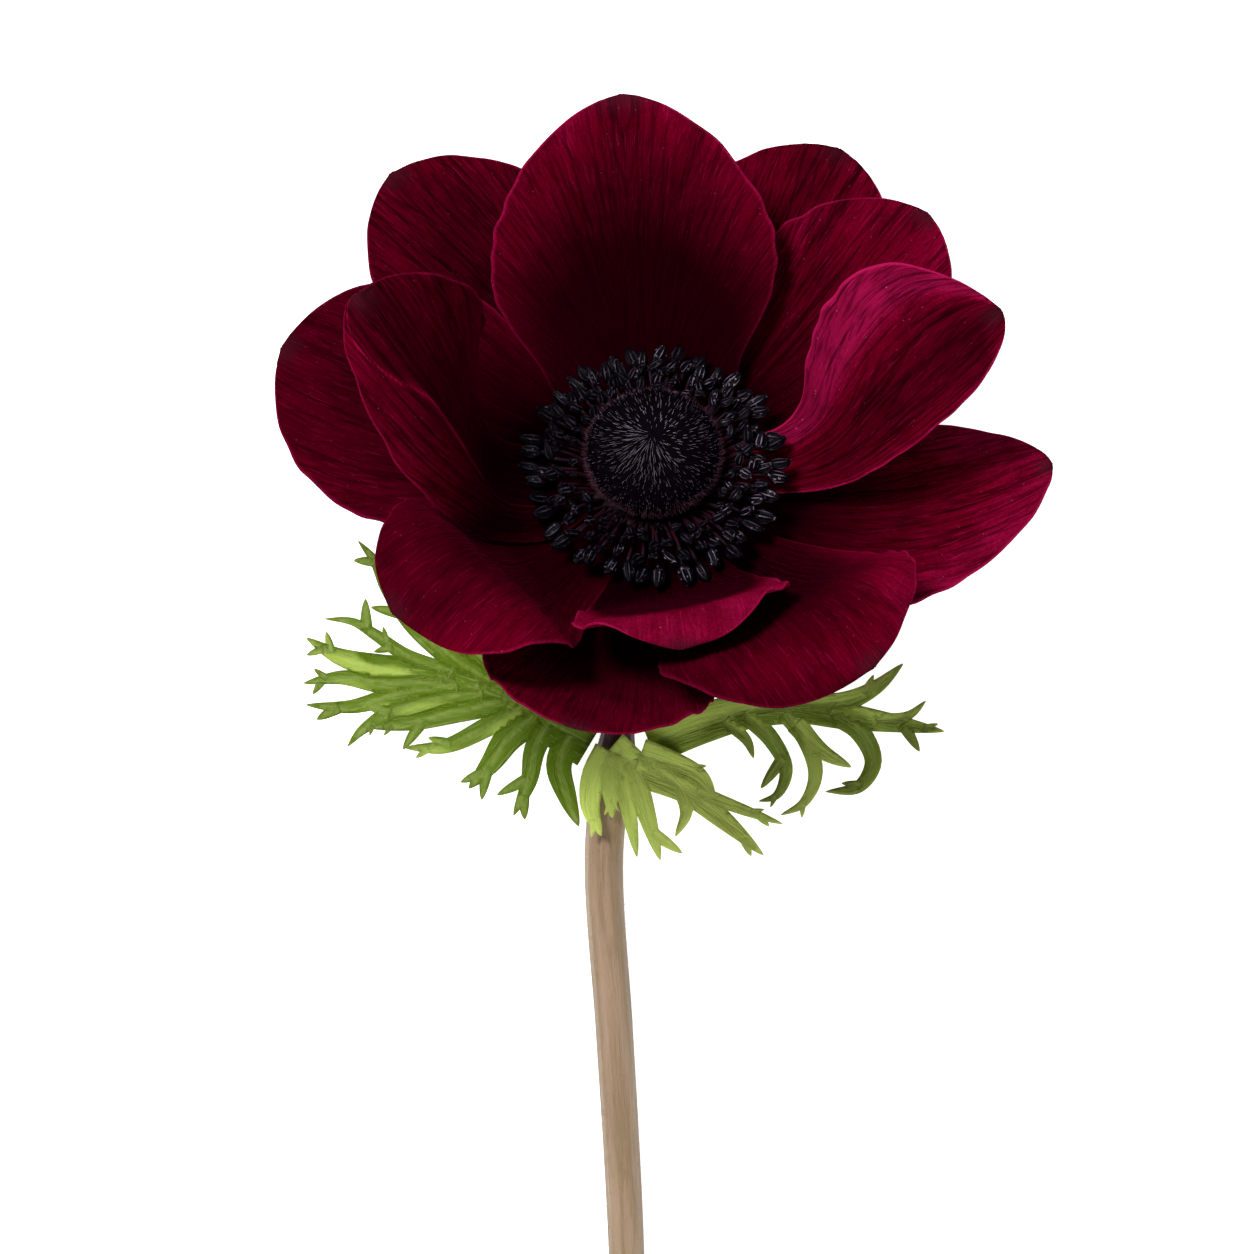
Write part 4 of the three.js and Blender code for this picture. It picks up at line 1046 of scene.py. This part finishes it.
def papillae(rng, count, length):
    """Bristles set out over the dome by the golden angle. Towards the top they are combed
    downhill and a little round, and more of those on one side are long and pale, a painted
    highlight; the pale ends of the brighter bristles are painted glints."""
    order = (np.arange(count) + 0.5) / count
    fraction = 1 - np.arccos(1 - PAPILLA["covers"] * order) / np.pi / (1 - DOME["opening"])
    keep = fraction > PAPILLA["lowest"]
    round_by, down_by = PAPILLA["strays"]
    turn = (np.arange(count) * GOLDEN_ANGLE + rng.normal(0, round_by, count))[keep]
    count = len(turn)
    fraction = fraction[keep] + rng.normal(0, down_by, count)
    place, outward, downhill = dome_place(np.clip(fraction, *PAPILLA["held"]), turn)
    near_top = eased(fraction, *PAPILLA["combed_from"])
    lean = (PAPILLA["lean"] + PAPILLA["combed"] * near_top)[:, None]
    swirl = unit(np.cross(outward, downhill)) * (PAPILLA["swirl"] * near_top)[:, None]
    untidy = rng.normal(0, PAPILLA["untidy"], place.shape)
    lengths = length * rng.uniform(*PAPILLA["length"], count)
    radii = rng.uniform(*PAPILLA["radius"], count)
    pale = np.clip(np.cos(turn - HIGHLIGHT_SIDE["angle"]) + HIGHLIGHT_SIDE["reach"], 0, 1) * near_top
    points, faces = spikes(
        place - outward * PAPILLA["sunk"], unit(outward + downhill * lean + swirl + untidy),
        lengths * (1 + HIGHLIGHT_SIDE["longer"] * pale), radii, downhill * PAPILLA["droop"])
    # Which bristles carry a painted glint, more of them on the side of the painted highlight
    lit = rng.uniform(0, 1, count) < PAPILLA["lit"] + HIGHLIGHT_SIDE["more_lit"] * pale
    bright = rng.uniform(PAPILLA["lit_tone"], 1 - HIGHLIGHT_SIDE["dimmer"] * pale, count)
    tone = np.where(lit, bright, rng.uniform(0, PAPILLA["dark_tone"], count))
    tip = between([on_rings(rings, 5, 0.0, end) for rings, end in GLINT_ENDS], near_top[:, None])
    return points, faces, dict(tone=on_each(tone, points), tip=tip)


def fringe_hairs(rng, count):
    """Hairs round the dome's foot that stand out and up from it."""
    turn = rng.uniform(0, 2 * np.pi, count)
    place, outward, downhill = dome_place(rng.uniform(*FRINGE["place"], count), turn)
    direction = outward - downhill * rng.uniform(*FRINGE["upright"], count)[:, None]
    direction = unit(direction + rng.normal(0, FRINGE["untidy"], place.shape))
    lengths = rng.uniform(*FRINGE["length"], count)
    radii = rng.uniform(*FRINGE["radius"], count)
    points, faces = spikes(place - outward * FRINGE["sunk"], direction, lengths, radii,
                           -downhill * FRINGE["droop"])
    along = np.tile(on_rings([0.0, 0.4, 0.8], 5, 0.0, 1.0), count)
    return points, faces, dict(along=along, tone=on_each(rng.uniform(0, 1, count), points))


class ANEMONE_OT_pistil(bpy.types.Operator):
    """Build the pistil head with its papillae and the fringe at its foot"""
    bl_idname = "anemone.pistil"
    bl_label = "Pistil head"

    def execute(self, context):
        sizes, colours = context.scene.anemone_sizes, context.scene.anemone_colours
        rows, sides, span = DOME_SKIN.values()
        rings = dome_place(np.linspace(*span, rows)[:, None], round_turn(sides))[0]
        points = np.vstack([rings.reshape(-1, 3), rings[0].mean(0), dome_place(1.0, 0.0)[0]])
        skin = new_piece("pistil_head_skin", points, capped_faces(rows, sides),
                         dome_material(colours), {})
        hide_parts("pistil_head")

        rng = np.random.default_rng(SEEDS["pistil"])
        bristles = papillae(rng, sizes.papillae, millimetres(sizes.papilla_length))
        piece = new_piece("pistil_papillae", *bristles[:2], papilla_material(colours), bristles[2])
        points, faces, fields = fringe_hairs(rng, sizes.fringe)
        material = thread_material("fringe", colours.fringe, colours.fringe_foot, colours.anther_dark)
        fringe = new_piece("pistil_fringe", points, faces, material, fields)
        return {"FINISHED"}


# Stamens

def stamen_paths(rng):
    """Roots, bends, anther feet, their directions, half lengths and breadths, of every stamen:
    rows round the pistil head, each stamen a little off its place, its anther swung and lifted."""
    parts, stray = [], STAMEN_STRAYS
    for number, row in enumerate(STAMEN_ROWS):
        count = row["count"]
        turn = round_turn(count) + 2 * np.pi * number / 3 / count + rng.normal(0, stray["turn"], count)
        reach = row["reach"] + rng.uniform(-stray["reach"], stray["reach"], count)
        height = row["height"] + rng.uniform(*stray["height"], count)
        swing = rng.normal(0, row["spread"], count)
        lift = rng.normal(row["lift"], stray["lift"], count)
        half = row["length"] / 2 * rng.uniform(*stray["size"], count)
        breadth = row["width"] * rng.uniform(*stray["size"], count)
        pointing = swung(in_plane(turn + swing), UP, lift)[0]
        root = in_plane(turn) * STAMEN_ROOT[0] + UP * STAMEN_ROOT[1]
        middle = in_plane(turn) * reach[:, None] + UP * height[:, None]
        foot = middle - pointing * half[:, None]
        parts.append((root, (root + foot) / 2 + UP * STAMEN_BOW, foot, pointing, half, breadth))
    return [np.concatenate(values) for values in zip(*parts)]


def filaments(root, bend, foot, pointing, sides=7, steps=8):
    """Threads: rings carried along a curve from root over bend to foot, worked out as a
    quadratic Bezier, thinner in the middle and a little wider under the anther."""
    f = np.linspace(0, 1, steps)[:, None]
    line = ((1 - f) ** 2 * root[:, None] + 2 * f * (1 - f) * bend[:, None]
            + f**2 * (foot + pointing * FILAMENT["past_foot"])[:, None])
    direction = unit(np.gradient(line, axis=1))
    across = unit(np.cross(direction, UP))
    reach = (FILAMENT["radius"] - FILAMENT["waist"] * np.sin(np.pi * f)) * np.ones(sides)
    rings = rings_round(line, across, np.cross(direction, across), reach)
    points, faces = many(rings, line[:, 0], line[:, -1])
    return points, faces, np.tile(on_rings(f[:, 0], sides, 0.0, 1.0), len(root))


def bumps(angle, centres, width):
    """A sum of bell curves round a turn, each with its centre."""
    gaps = [(angle - centre + np.pi) % (2 * np.pi) - np.pi for centre in centres]
    return sum(np.exp(-(gap / width) ** 2) for gap in gaps)


def anthers(foot, pointing, half, breadth, rng, sides=32, steps=11):
    """Pollen sacs: rings along the anther, wide in the middle and round at both ends, whose
    outline is an oval with grooves: one down the front between the two sacs, one in each sac,
    and one down the back."""
    f = np.linspace(0.0, 1.0, steps)[:, None]
    swell = np.sin(np.pi * between(ANTHER["swell"], f)) ** ANTHER["blunt"]
    swell = swell * between(ANTHER["taper"], f)
    angle = round_turn(sides)
    groove = sum(depth * bumps(angle, [centre], width) for centre, depth, width in ANTHER_GROOVES)
    crest = bumps(angle, ANTHER_HIGHLIGHT_CRESTS["at"], ANTHER_HIGHLIGHT_CRESTS["width"])
    depth = 1 - groove * np.sin(np.pi * np.clip(f, *ANTHER["grooved"])) ** 0.5
    across = unit(np.cross(pointing, UP))
    twist = rng.normal(0, ANTHER["twist"], len(foot))
    across, front = swung(across, np.cross(across, pointing), twist)
    line = (foot[:, None] + pointing[:, None] * (2 * half[:, None, None] * f)
            - front[:, None] * (ANTHER["bow"] * np.sin(np.pi * f)))
    reach = breadth[:, None, None] * (swell * depth)
    rings = rings_round(line, ANTHER["flatness"] * front[:, None], across[:, None], reach)
    points, faces = many(rings, line[:, 0] - pointing * ANTHER["low_end"],
                         line[:, -1] + pointing * ANTHER["high_end"])
    # Each point's share of the painted highlight along the crests
    ridge = np.append(crest * np.sin(np.pi * f) ** 0.5, [0.2, 0.2])
    return points, faces, np.tile(ridge, len(foot))


def core_ring(sides=64):
    """The low ring that the filaments grow from: a closed round-cornered section turned round
    the bloom's axis."""
    section = np.array(STAMEN_CORE)[:, None]
    points = in_plane(round_turn(sides)) * section[..., :1] + UP * section[..., 1:]
    quads = strip_quads(len(section) + 1, sides) % (len(section) * sides)
    return points.reshape(-1, 3), quads


class ANEMONE_OT_stamens(bpy.types.Operator):
    """Build the stamens: filaments on their ring, and anthers"""
    bl_idname = "anemone.stamens"
    bl_label = "Stamens"

    def execute(self, context):
        colours = context.scene.anemone_colours
        rng = np.random.default_rng(SEEDS["stamens"])
        root, bend, foot, pointing, half, breadth = stamen_paths(rng)
        tone = rng.uniform(0, 1, len(root))
        core_points, core_quads = core_ring()
        points, faces, along = filaments(root, bend, foot, pointing)
        start = len(core_points)
        fields = dict(along=np.append(np.zeros(start), along),
                      tone=np.append(np.full(start, 1.9), on_each(tone, points)))
        threads = new_piece(
            "stamen_filaments", to_bloom(np.vstack([core_points, points])),
            [core_quads, *(group + start for group in faces)], thread_material(
                "filaments", colours.filament, colours.filament_foot, colours.anther_dark), fields)
        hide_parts("stamens")

        points, faces, ridge = anthers(foot, pointing, half, breadth, rng)
        # Painted shade: anthers on the -X side of the bloom are dimmer
        towards_light = eased(foot[:, 0] / np.hypot(foot[:, 0], foot[:, 1]), *LIT_SIDE["between"])
        tone = tone * between((LIT_SIDE["dim"], 1), towards_light)
        sacs = new_piece("stamen_anthers", to_bloom(points), faces, anther_material(colours),
                         dict(ridge=ridge, tone=on_each(tone, points)))
        return {"FINISHED"}


# Stem

def stem_line():
    """The stem's axis from the top of the receptacle to the cut end, with its radius and the way
    from the whorl: straight down the bloom's axis, along a cubic Bezier to the whorl, then along
    the stem's curve. The radius runs straight between stations, smoothed over five points."""
    foot, top = RECEPTACLE[0][0], RECEPTACLE[-1][0]
    axis = bloom_point(0.0, 0.0, np.linspace(top, foot + 1, 24))
    f = np.linspace(0, 1, 60)[1:, None]
    below, above = bloom_point(0.0, 0.0, foot - STALK["below"]), WHORL + STALK["bend"]
    stalk = ((1 - f) ** 3 * axis[-1] + 3 * f * (1 - f) ** 2 * below
             + 3 * f**2 * (1 - f) * above + f**3 * WHORL)
    path = BLOOM_CENTRE[:2] + STEM_PATH
    part = (path[:, 1] - WHORL[1]) / (path[-1, 1] - WHORL[1])
    height = between((WHORL[2], STEM["cut"]), smooth(part * STEM["fall"]))
    stem = spline(np.vstack([WHORL + (0, 1, 0), np.column_stack([path, height])]), 160)
    stem = stem[stem[:, 1] < WHORL[1] - 0.8]
    line = even_points(np.vstack([axis, stalk, stem]), 300)
    travelled = np.linspace(0, line_length(line)[-1], len(line))
    at_whorl = travelled[np.argmin(np.linalg.norm(line - WHORL, axis=1))]
    past_foot, stalk_radius = STALK["top"]
    stations = [*((top - up, radius) for up, radius in reversed(RECEPTACLE)),
                (top - foot + past_foot, stalk_radius),
                *((at_whorl + way, radius) for way, radius in WHORL_RADII),
                (travelled[-1], STEM["cut"])]
    radius = np.interp(travelled, *np.transpose(stations))
    radius = np.convolve(np.pad(radius, 2, mode="edge"), np.ones(5) / 5, mode="valid")
    return line, radius, travelled - at_whorl


def stem_rings(sides):
    """Rings round the stem with soft ribs, and smaller ones that sink into the cut face, with
    their middles and their way along it. Each ring's first point looks along +X."""
    line, radius, along = stem_line()
    direction = unit(np.gradient(line, axis=0))
    sunk = np.array(CUT_FACE["sunk"])[:, None]
    line = np.vstack([line, line[-1] - direction[-1] * sunk])
    direction = np.vstack([direction, np.repeat(direction[-1:], len(sunk), axis=0)])
    radius = np.append(radius, radius[-1] * np.array(CUT_FACE["narrowed"]))
    across = unit(np.array([1.0, 0.0, 0.0]) - direction * direction[:, :1])
    ribbed = 1 + STEM["rib_depth"] * np.sin(STEM["ribs"] * round_turn(sides))
    rings = rings_round(line, across, np.cross(direction, across), radius[:, None] * ribbed)
    rings[..., 2] = np.maximum(rings[..., 2], 0.0)
    return rings, line, np.append(along, np.full(len(sunk), along[-1]))


def stem_hairs(rings, line, count):
    """Fine hairs that stand out of the stem's rings below the whorl, clear of the floor, with
    the row of the ring that each grows from."""
    rng = np.random.default_rng(SEEDS["stem"])
    rows, sides = rings.shape[:2]
    row = rng.integers(STEM_HAIR["first_row"], rows - STEM_HAIR["last_rows"], count)
    side = rng.integers(0, sides, count)
    outward = unit(rings[row, side] - line[row])
    root = rings[row, side] - outward * STEM_HAIR["sunk"]
    direction = unit(outward + rng.normal(0, STEM_HAIR["untidy"], root.shape))
    clear = root[:, 2] > STEM_HAIR["clear"]
    root, direction, row = root[clear], direction[clear], row[clear]
    lengths = rng.uniform(*STEM_HAIR["length"], len(root))
    droop = rng.normal(0, STEM_HAIR["droop"], root.shape)
    radii = np.full(len(root), STEM_HAIR["radius"])
    return (*spikes(root, direction, lengths, radii, droop, sides=4), row)


class ANEMONE_OT_stem(bpy.types.Operator):
    """Build the receptacle, stalk and stem with its hairs"""
    bl_idname = "anemone.stem"
    bl_label = "Stem"

    def execute(self, context):
        sizes = context.scene.anemone_sizes
        material = stem_material(context.scene.anemone_colours)
        rings, line, along = stem_rings(sizes.stem_sides)
        rows, sides = rings.shape[:2]
        points = np.vstack([rings.reshape(-1, 3), line[:1], rings[-1].mean(0)])
        around = np.abs(np.linspace(-1, 1, sides, endpoint=False))
        pith = np.where(np.arange(rows) >= rows - 3, 1.0, 0.0)
        above = 1 - eased(along, *STALK["colour_ends"])
        fields = {key: on_rings(values, sides, values[0], values[-1])
                  for key, values in dict(along=along, above=above, pith=pith).items()}
        fields["around"] = np.append(np.tile(around, rows), [around[0], around[-1]])
        piece = new_piece("stem_skin", points, capped_faces(rows, sides), material, fields)
        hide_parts("stem")

        points, faces, row = stem_hairs(rings, line, sizes.stem_hairs)
        fields = dict(along=on_each(along[row], points), above=on_each(above[row], points),
                      around=np.full(len(points), 0.5), pith=np.zeros(len(points)))
        hairs = new_piece("stem_hairs", points, faces, material, fields)
        return {"FINISHED"}


# Leaves

def rib_half(half, fraction):
    """Half width of a rib's blade: it narrows evenly and closes round the tip."""
    return half * (1 - RIB_TAPER * fraction) * (1 - fraction**4) ** 0.7


class RibLine:
    """A rib's curve with points and directions at any fractions of its length."""

    def __init__(self, path):
        self.line = spline(path, 200)
        self.length = line_length(self.line)[-1]
        self.known = np.linspace(0, 1, len(self.line))

    def at(self, fraction):
        return read_off(fraction, self.known, self.line)

    def heading(self, fraction):
        return unit(read_off(fraction, self.known, unit(np.gradient(self.line, axis=0))))


def tooth_rib(curve, half, tooth):
    """A tooth as a short straight rib that leaves the middle of its lobe at an angle."""
    at, length, angle = tooth
    turn = math.radians(angle)
    x, y = curve.heading(at)
    direction = np.array([x * math.cos(turn) - y * math.sin(turn),
                          x * math.sin(turn) + y * math.cos(turn)])
    root = curve.at(at)
    tip = root + direction * (length + rib_half(half, at))
    return RibLine([root, tip]), min(TOOTH["width"] * length, TOOTH["greatest"])


def rib_outline(curve, half, spacing):
    """Points up a rib's right margin, round its tip and down its left one."""
    steps = max(round(curve.length / spacing), 4)
    fraction = np.sin(np.pi / 2 * np.arange(steps) / steps)
    middle, heading = curve.at(fraction), curve.heading(fraction)
    out = np.column_stack([-heading[:, 1], heading[:, 0]]) * rib_half(half, fraction)[:, None]
    return np.vstack([middle - out, curve.at(1.0)[None], (middle + out)[::-1]])


def rib_samples(curve, half, root_lift, curl, tone, count=40):
    """Places along a rib with what the blade takes from it there: half width, lift over the
    leaf's height, tone, the way along it and its heading."""
    fraction = np.linspace(0, 1, count)
    return np.column_stack([
        curve.at(fraction), rib_half(half, fraction), root_lift + curl * fraction**2,
        np.full(count, tone), fraction * curve.length, curve.heading(fraction)])


def inside_outline(points, outline):
    """Which points lie inside a closed outline: an odd number of its edges is crossed by the
    way from the point straight to the right."""
    a, b = outline, np.roll(outline, -1, axis=0)
    x, y = points[:, None, 0], points[:, None, 1]
    crosses = (a[:, 1] > y) != (b[:, 1] > y)
    rise = np.where(b[:, 1] == a[:, 1], 1e-9, b[:, 1] - a[:, 1])
    at = a[:, 0] + (y - a[:, 1]) / rise * (b[:, 0] - a[:, 0])
    return (crosses & (x < at)).sum(1) % 2 == 1


def edge_distance(points, a, b):
    """Distance from each point to the nearest of the edges from a to b."""
    edge = b - a
    size = np.maximum((edge**2).sum(-1), 1e-12)
    f = np.clip(((points[:, None] - a) * edge).sum(-1) / size, 0, 1)
    return np.linalg.norm(points[:, None] - a - f[..., None] * edge, axis=-1).min(1)


def free_edges(triangles, count):
    """Edges that belong to one triangle only, in that triangle's direction."""
    edges = np.vstack([triangles[:, [0, 1]], triangles[:, [1, 2]], triangles[:, [2, 0]]])
    codes = edges[:, 0] * count + edges[:, 1]
    return edges[~np.isin(codes, edges[:, 1] * count + edges[:, 0])]


def leaf_height(leaf, place):
    """The leaf's height over the floor: an arch out to its span, a fall to the right for the
    leaf over the stem, and a low wave."""
    x, y = place.T
    distance = np.hypot(x, y)
    arch = leaf["arch"] * np.sin(np.pi * np.minimum(distance / leaf["span"], 1))
    fall = leaf["drop"] * np.maximum(x - LEAF_DROP_FROM, 0)
    wave = np.sin(LEAF_WAVE["x"] * x + LEAF_WAVE["shift"]) * np.cos(LEAF_WAVE["y"] * y)
    wave = LEAF_WAVE["height"] * wave * eased(distance, *LEAF_WAVE["begins"])
    return leaf["base"] + arch - fall + wave


def rib_parts(leaf, spacing, rng):
    """The outlines and samples of all ribs and teeth. Each rib but the first curls up or down
    and is lighter or darker by chance."""
    outlines, samples = [], []
    for number, (half, path, teeth) in enumerate(leaf["ribs"]):
        curve = RibLine(path)
        curl, tone = 0.0, 0.0
        if number:
            curl = rng.uniform(-LEAF_LOBE["curl"], LEAF_LOBE["curl"])
            curl *= min(curve.length / LEAF_LOBE["full_curl_at"], 1)
            tone = rng.uniform(-1, 1)
        outlines.append(rib_outline(curve, half, spacing))
        samples.append(rib_samples(curve, half, 0.0, curl, tone))
        for tooth in teeth:
            small, narrow = tooth_rib(curve, half, tooth)
            outlines.append(rib_outline(small, narrow, spacing * 0.8))
            tooth_curl = rng.uniform(*LEAF_LOBE["tooth_curl"])
            samples.append(rib_samples(small, narrow, curl * tooth[0] ** 2, tooth_curl, tone))
    return outlines, np.vstack(samples)


def leaf_plan(outlines, spacing):
    """The flat leaf: the outlines of all ribs and teeth are laid over each other and split with
    them into triangles, of which those inside any outline stay. Points between the outlines
    stand on a grid of rows."""
    points = np.vstack(outlines)
    low, high = points.min(0), points.max(0)
    across, up = np.meshgrid(np.arange(low[0], high[0], spacing),
                             np.arange(low[1], high[1], spacing * 0.87))
    across = across + (np.arange(len(up)) % 2)[:, None] * spacing / 2
    grid = np.column_stack([across.ravel(), up.ravel()])
    grid = grid[np.any([inside_outline(grid, outline) for outline in outlines], axis=0)]
    grid = grid[np.linalg.norm(grid[:, None] - points, axis=-1).min(1) > spacing * 0.5]
    ends = np.cumsum([len(outline) for outline in outlines])
    loops = [list(range(end - len(outline), end)) for end, outline in zip(ends, outlines)]
    found = delaunay_2d_cdt(np.vstack([points, grid]).tolist(), [], loops, 1, 1e-4)
    place = np.array([list(corner) for corner in found[0]])
    triangles = np.array(found[2])[[len(owners) > 0 for owners in found[5]]]
    a, b, c = (place[triangles[:, corner]] for corner in range(3))
    area = (b[:, 0] - a[:, 0]) * (c[:, 1] - a[:, 1]) - (c[:, 0] - a[:, 0]) * (b[:, 1] - a[:, 1])
    triangles[area < 0] = triangles[area < 0][:, ::-1]
    used, triangles = np.unique(triangles, return_inverse=True)
    return place[used], triangles.reshape(-1, 3)


def leaf_surface(leaf, spacing, seed):
    """The leaf's triangles and fields. The height is the arch, plus the lift of the lobes near
    by, plus a channel that rises from the nearest rib to the margins, less a groove on it."""
    outlines, samples = rib_parts(leaf, spacing, np.random.default_rng(seed))
    place, triangles = leaf_plan(outlines, spacing)
    gap = np.linalg.norm(place[:, None] - samples[:, :2], axis=-1)
    nearest = np.argmin(gap / (LEAF_REACH["least"] + samples[:, 2]), axis=1)
    rib_x, rib_y, _, _, _, along, heading_x, heading_y = samples[nearest].T
    distance = gap[np.arange(len(place)), nearest]
    weight = np.exp(-(gap / LEAF_REACH["lobe"]) ** 2) + 1e-12
    lift, tone = ((weight * samples[:, column]).sum(1) / weight.sum(1) for column in (3, 4))
    rim = free_edges(triangles, len(place))
    edge = edge_distance(place, place[rim[:, 0]], place[rim[:, 1]])
    channel = (LEAF_CHANNEL["rise"] * np.minimum(distance, LEAF_CHANNEL["most"])
               - LEAF_CHANNEL["groove"] * np.exp(-(distance / LEAF_CHANNEL["near"]) ** 2)
               - LEAF_CHANNEL["curl"] * np.exp(-edge / LEAF_CHANNEL["near"]))
    across = heading_x * (place[:, 1] - rib_y) - heading_y * (place[:, 0] - rib_x)
    # Painted light and shade: each lobe lighter on one side of its rib than the other
    lobe = tone + LEAF_LOBE["side_painted_light"] * np.tanh(across / LEAF_REACH["side"])
    fields = dict(rib=np.exp(-(distance / LEAF_REACH["rib"]) ** 2), lobe=lobe, along=along,
                  margin=np.exp(-edge / LEAF_REACH["margin"]), across=across,
                  pale=np.full(len(place), leaf["pale"]))
    return place, leaf_height(leaf, place) + lift + channel, triangles, fields


class ANEMONE_OT_leaves(bpy.types.Operator):
    """Build the three involucral leaves"""
    bl_idname = "anemone.leaves"
    bl_label = "Involucral leaves"

    def execute(self, context):
        sizes = context.scene.anemone_sizes
        material = leaf_material(context.scene.anemone_colours)
        spacing = millimetres(sizes.leaf_spacing)
        half = millimetres(sizes.leaf_thickness) / 2
        for number, (name, leaf) in enumerate(LEAVES.items()):
            seed = number + SEEDS["leaves"]
            place, height, triangles, fields = leaf_surface(leaf, spacing, seed)
            count = len(place)
            thin = half * (1 - LEAF_LOBE["thinning"] * fields["margin"])
            points = np.vstack([np.column_stack([place + WHORL[:2], height + hand * thin])
                                for hand in (1, -1)])
            free = free_edges(triangles, count)
            wall = np.stack([free[:, 0], free[:, 0] + count, free[:, 1] + count, free[:, 1]], -1)
            piece = new_piece(name + "_blade", points,
                              [triangles, triangles[:, ::-1] + count, wall], material,
                              {key: np.tile(values, 2) for key, values in fields.items()})
            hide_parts(name)
        return {"FINISHED"}


# Stage

def area_light(name, place, size, power):
    """A square soft light at a place, in metres, turned to the bloom."""
    data = bpy.data.lights.new(name, "AREA")
    data.shape = "SQUARE"
    data.size = size
    data.energy = power
    lamp = bpy.data.objects.new(name, data)
    lamp.location = place
    gaze = BLOOM_CENTRE * MM - place
    lamp.rotation_euler = (math.acos(-gaze[2] / np.linalg.norm(gaze)), 0,
                           math.atan2(gaze[0], -gaze[1]) + math.pi)
    bpy.context.scene.collection.objects.link(lamp)


class ANEMONE_OT_stage(bpy.types.Operator):
    """Set out the floor, the lights and the camera"""
    bl_idname = "anemone.stage"
    bl_label = "Stage"

    def execute(self, context):
        scene = context.scene
        mesh = bpy.data.meshes.new("floor")
        side, level = FLOOR_HALF_SIDE, SOLID_BOX[0][2] - 0.05 * MM
        corners = [(-side, -side, level), (side, -side, level), (side, side, level),
                   (-side, side, level)]
        mesh.from_pydata(corners, [], [(0, 1, 2, 3)])
        mesh.materials.append(floor_material(scene.anemone_colours))
        floor = bpy.data.objects.new("floor", mesh)
        scene.collection.objects.link(floor)

        for name, light in LIGHTS.items():
            area_light(name, **light)
        world = bpy.data.worlds.new("studio")
        world.use_nodes = True
        colour, strength = world.node_tree.nodes["Background"].inputs[:2]
        colour.default_value = (1, 1, 1, 1)
        strength.default_value = SKY_LIGHT
        scene.world = world

        across, down = (PHOTO_SIDE / 2 - pixel for pixel in BLOOM_PIXEL)
        place = BLOOM_CENTRE + (across * MM_PER_PIXEL, -down * MM_PER_PIXEL, CAMERA_HEIGHT)
        data = bpy.data.cameras.new("camera")
        data.sensor_width = SENSOR
        data.lens = SENSOR * CAMERA_HEIGHT / (PHOTO_SIDE * MM_PER_PIXEL)
        camera = bpy.data.objects.new("camera", data)
        camera.location = place * MM
        scene.collection.objects.link(camera)
        scene.camera = camera
        scene.view_settings.view_transform = "Standard"
        return {"FINISHED"}


class ANEMONE_PT_panel(bpy.types.Panel):
    """Lists what can be built"""
    bl_idname = "ANEMONE_PT_panel"
    bl_label = "Anemone flower"
    bl_space_type = "VIEW_3D"
    bl_region_type = "UI"
    bl_category = "Anemone"

    def draw(self, context):
        for operator in OPERATORS:
            self.layout.operator(operator.bl_idname)
        for group in (context.scene.anemone_sizes, context.scene.anemone_colours):
            for key in group.__annotations__:
                self.layout.prop(group, key)


OPERATORS = (ANEMONE_OT_tepals, ANEMONE_OT_pistil, ANEMONE_OT_stamens, ANEMONE_OT_stem,
             ANEMONE_OT_leaves, ANEMONE_OT_stage)
CLASSES = (AnemoneSizes, AnemoneColours, *OPERATORS, ANEMONE_PT_panel)


def register():
    for item in CLASSES:
        bpy.utils.register_class(item)
    bpy.types.Scene.anemone_sizes = PointerProperty(type=AnemoneSizes)
    bpy.types.Scene.anemone_colours = PointerProperty(type=AnemoneColours)


def unregister():
    del bpy.types.Scene.anemone_colours
    del bpy.types.Scene.anemone_sizes
    for item in reversed(CLASSES):
        bpy.utils.unregister_class(item)


def main():
    register()
    bpy.ops.anemone.tepals()
    bpy.ops.anemone.pistil()
    bpy.ops.anemone.stamens()
    bpy.ops.anemone.stem()
    bpy.ops.anemone.leaves()
    bpy.ops.anemone.stage()


if __name__ == "__main__":
    main()
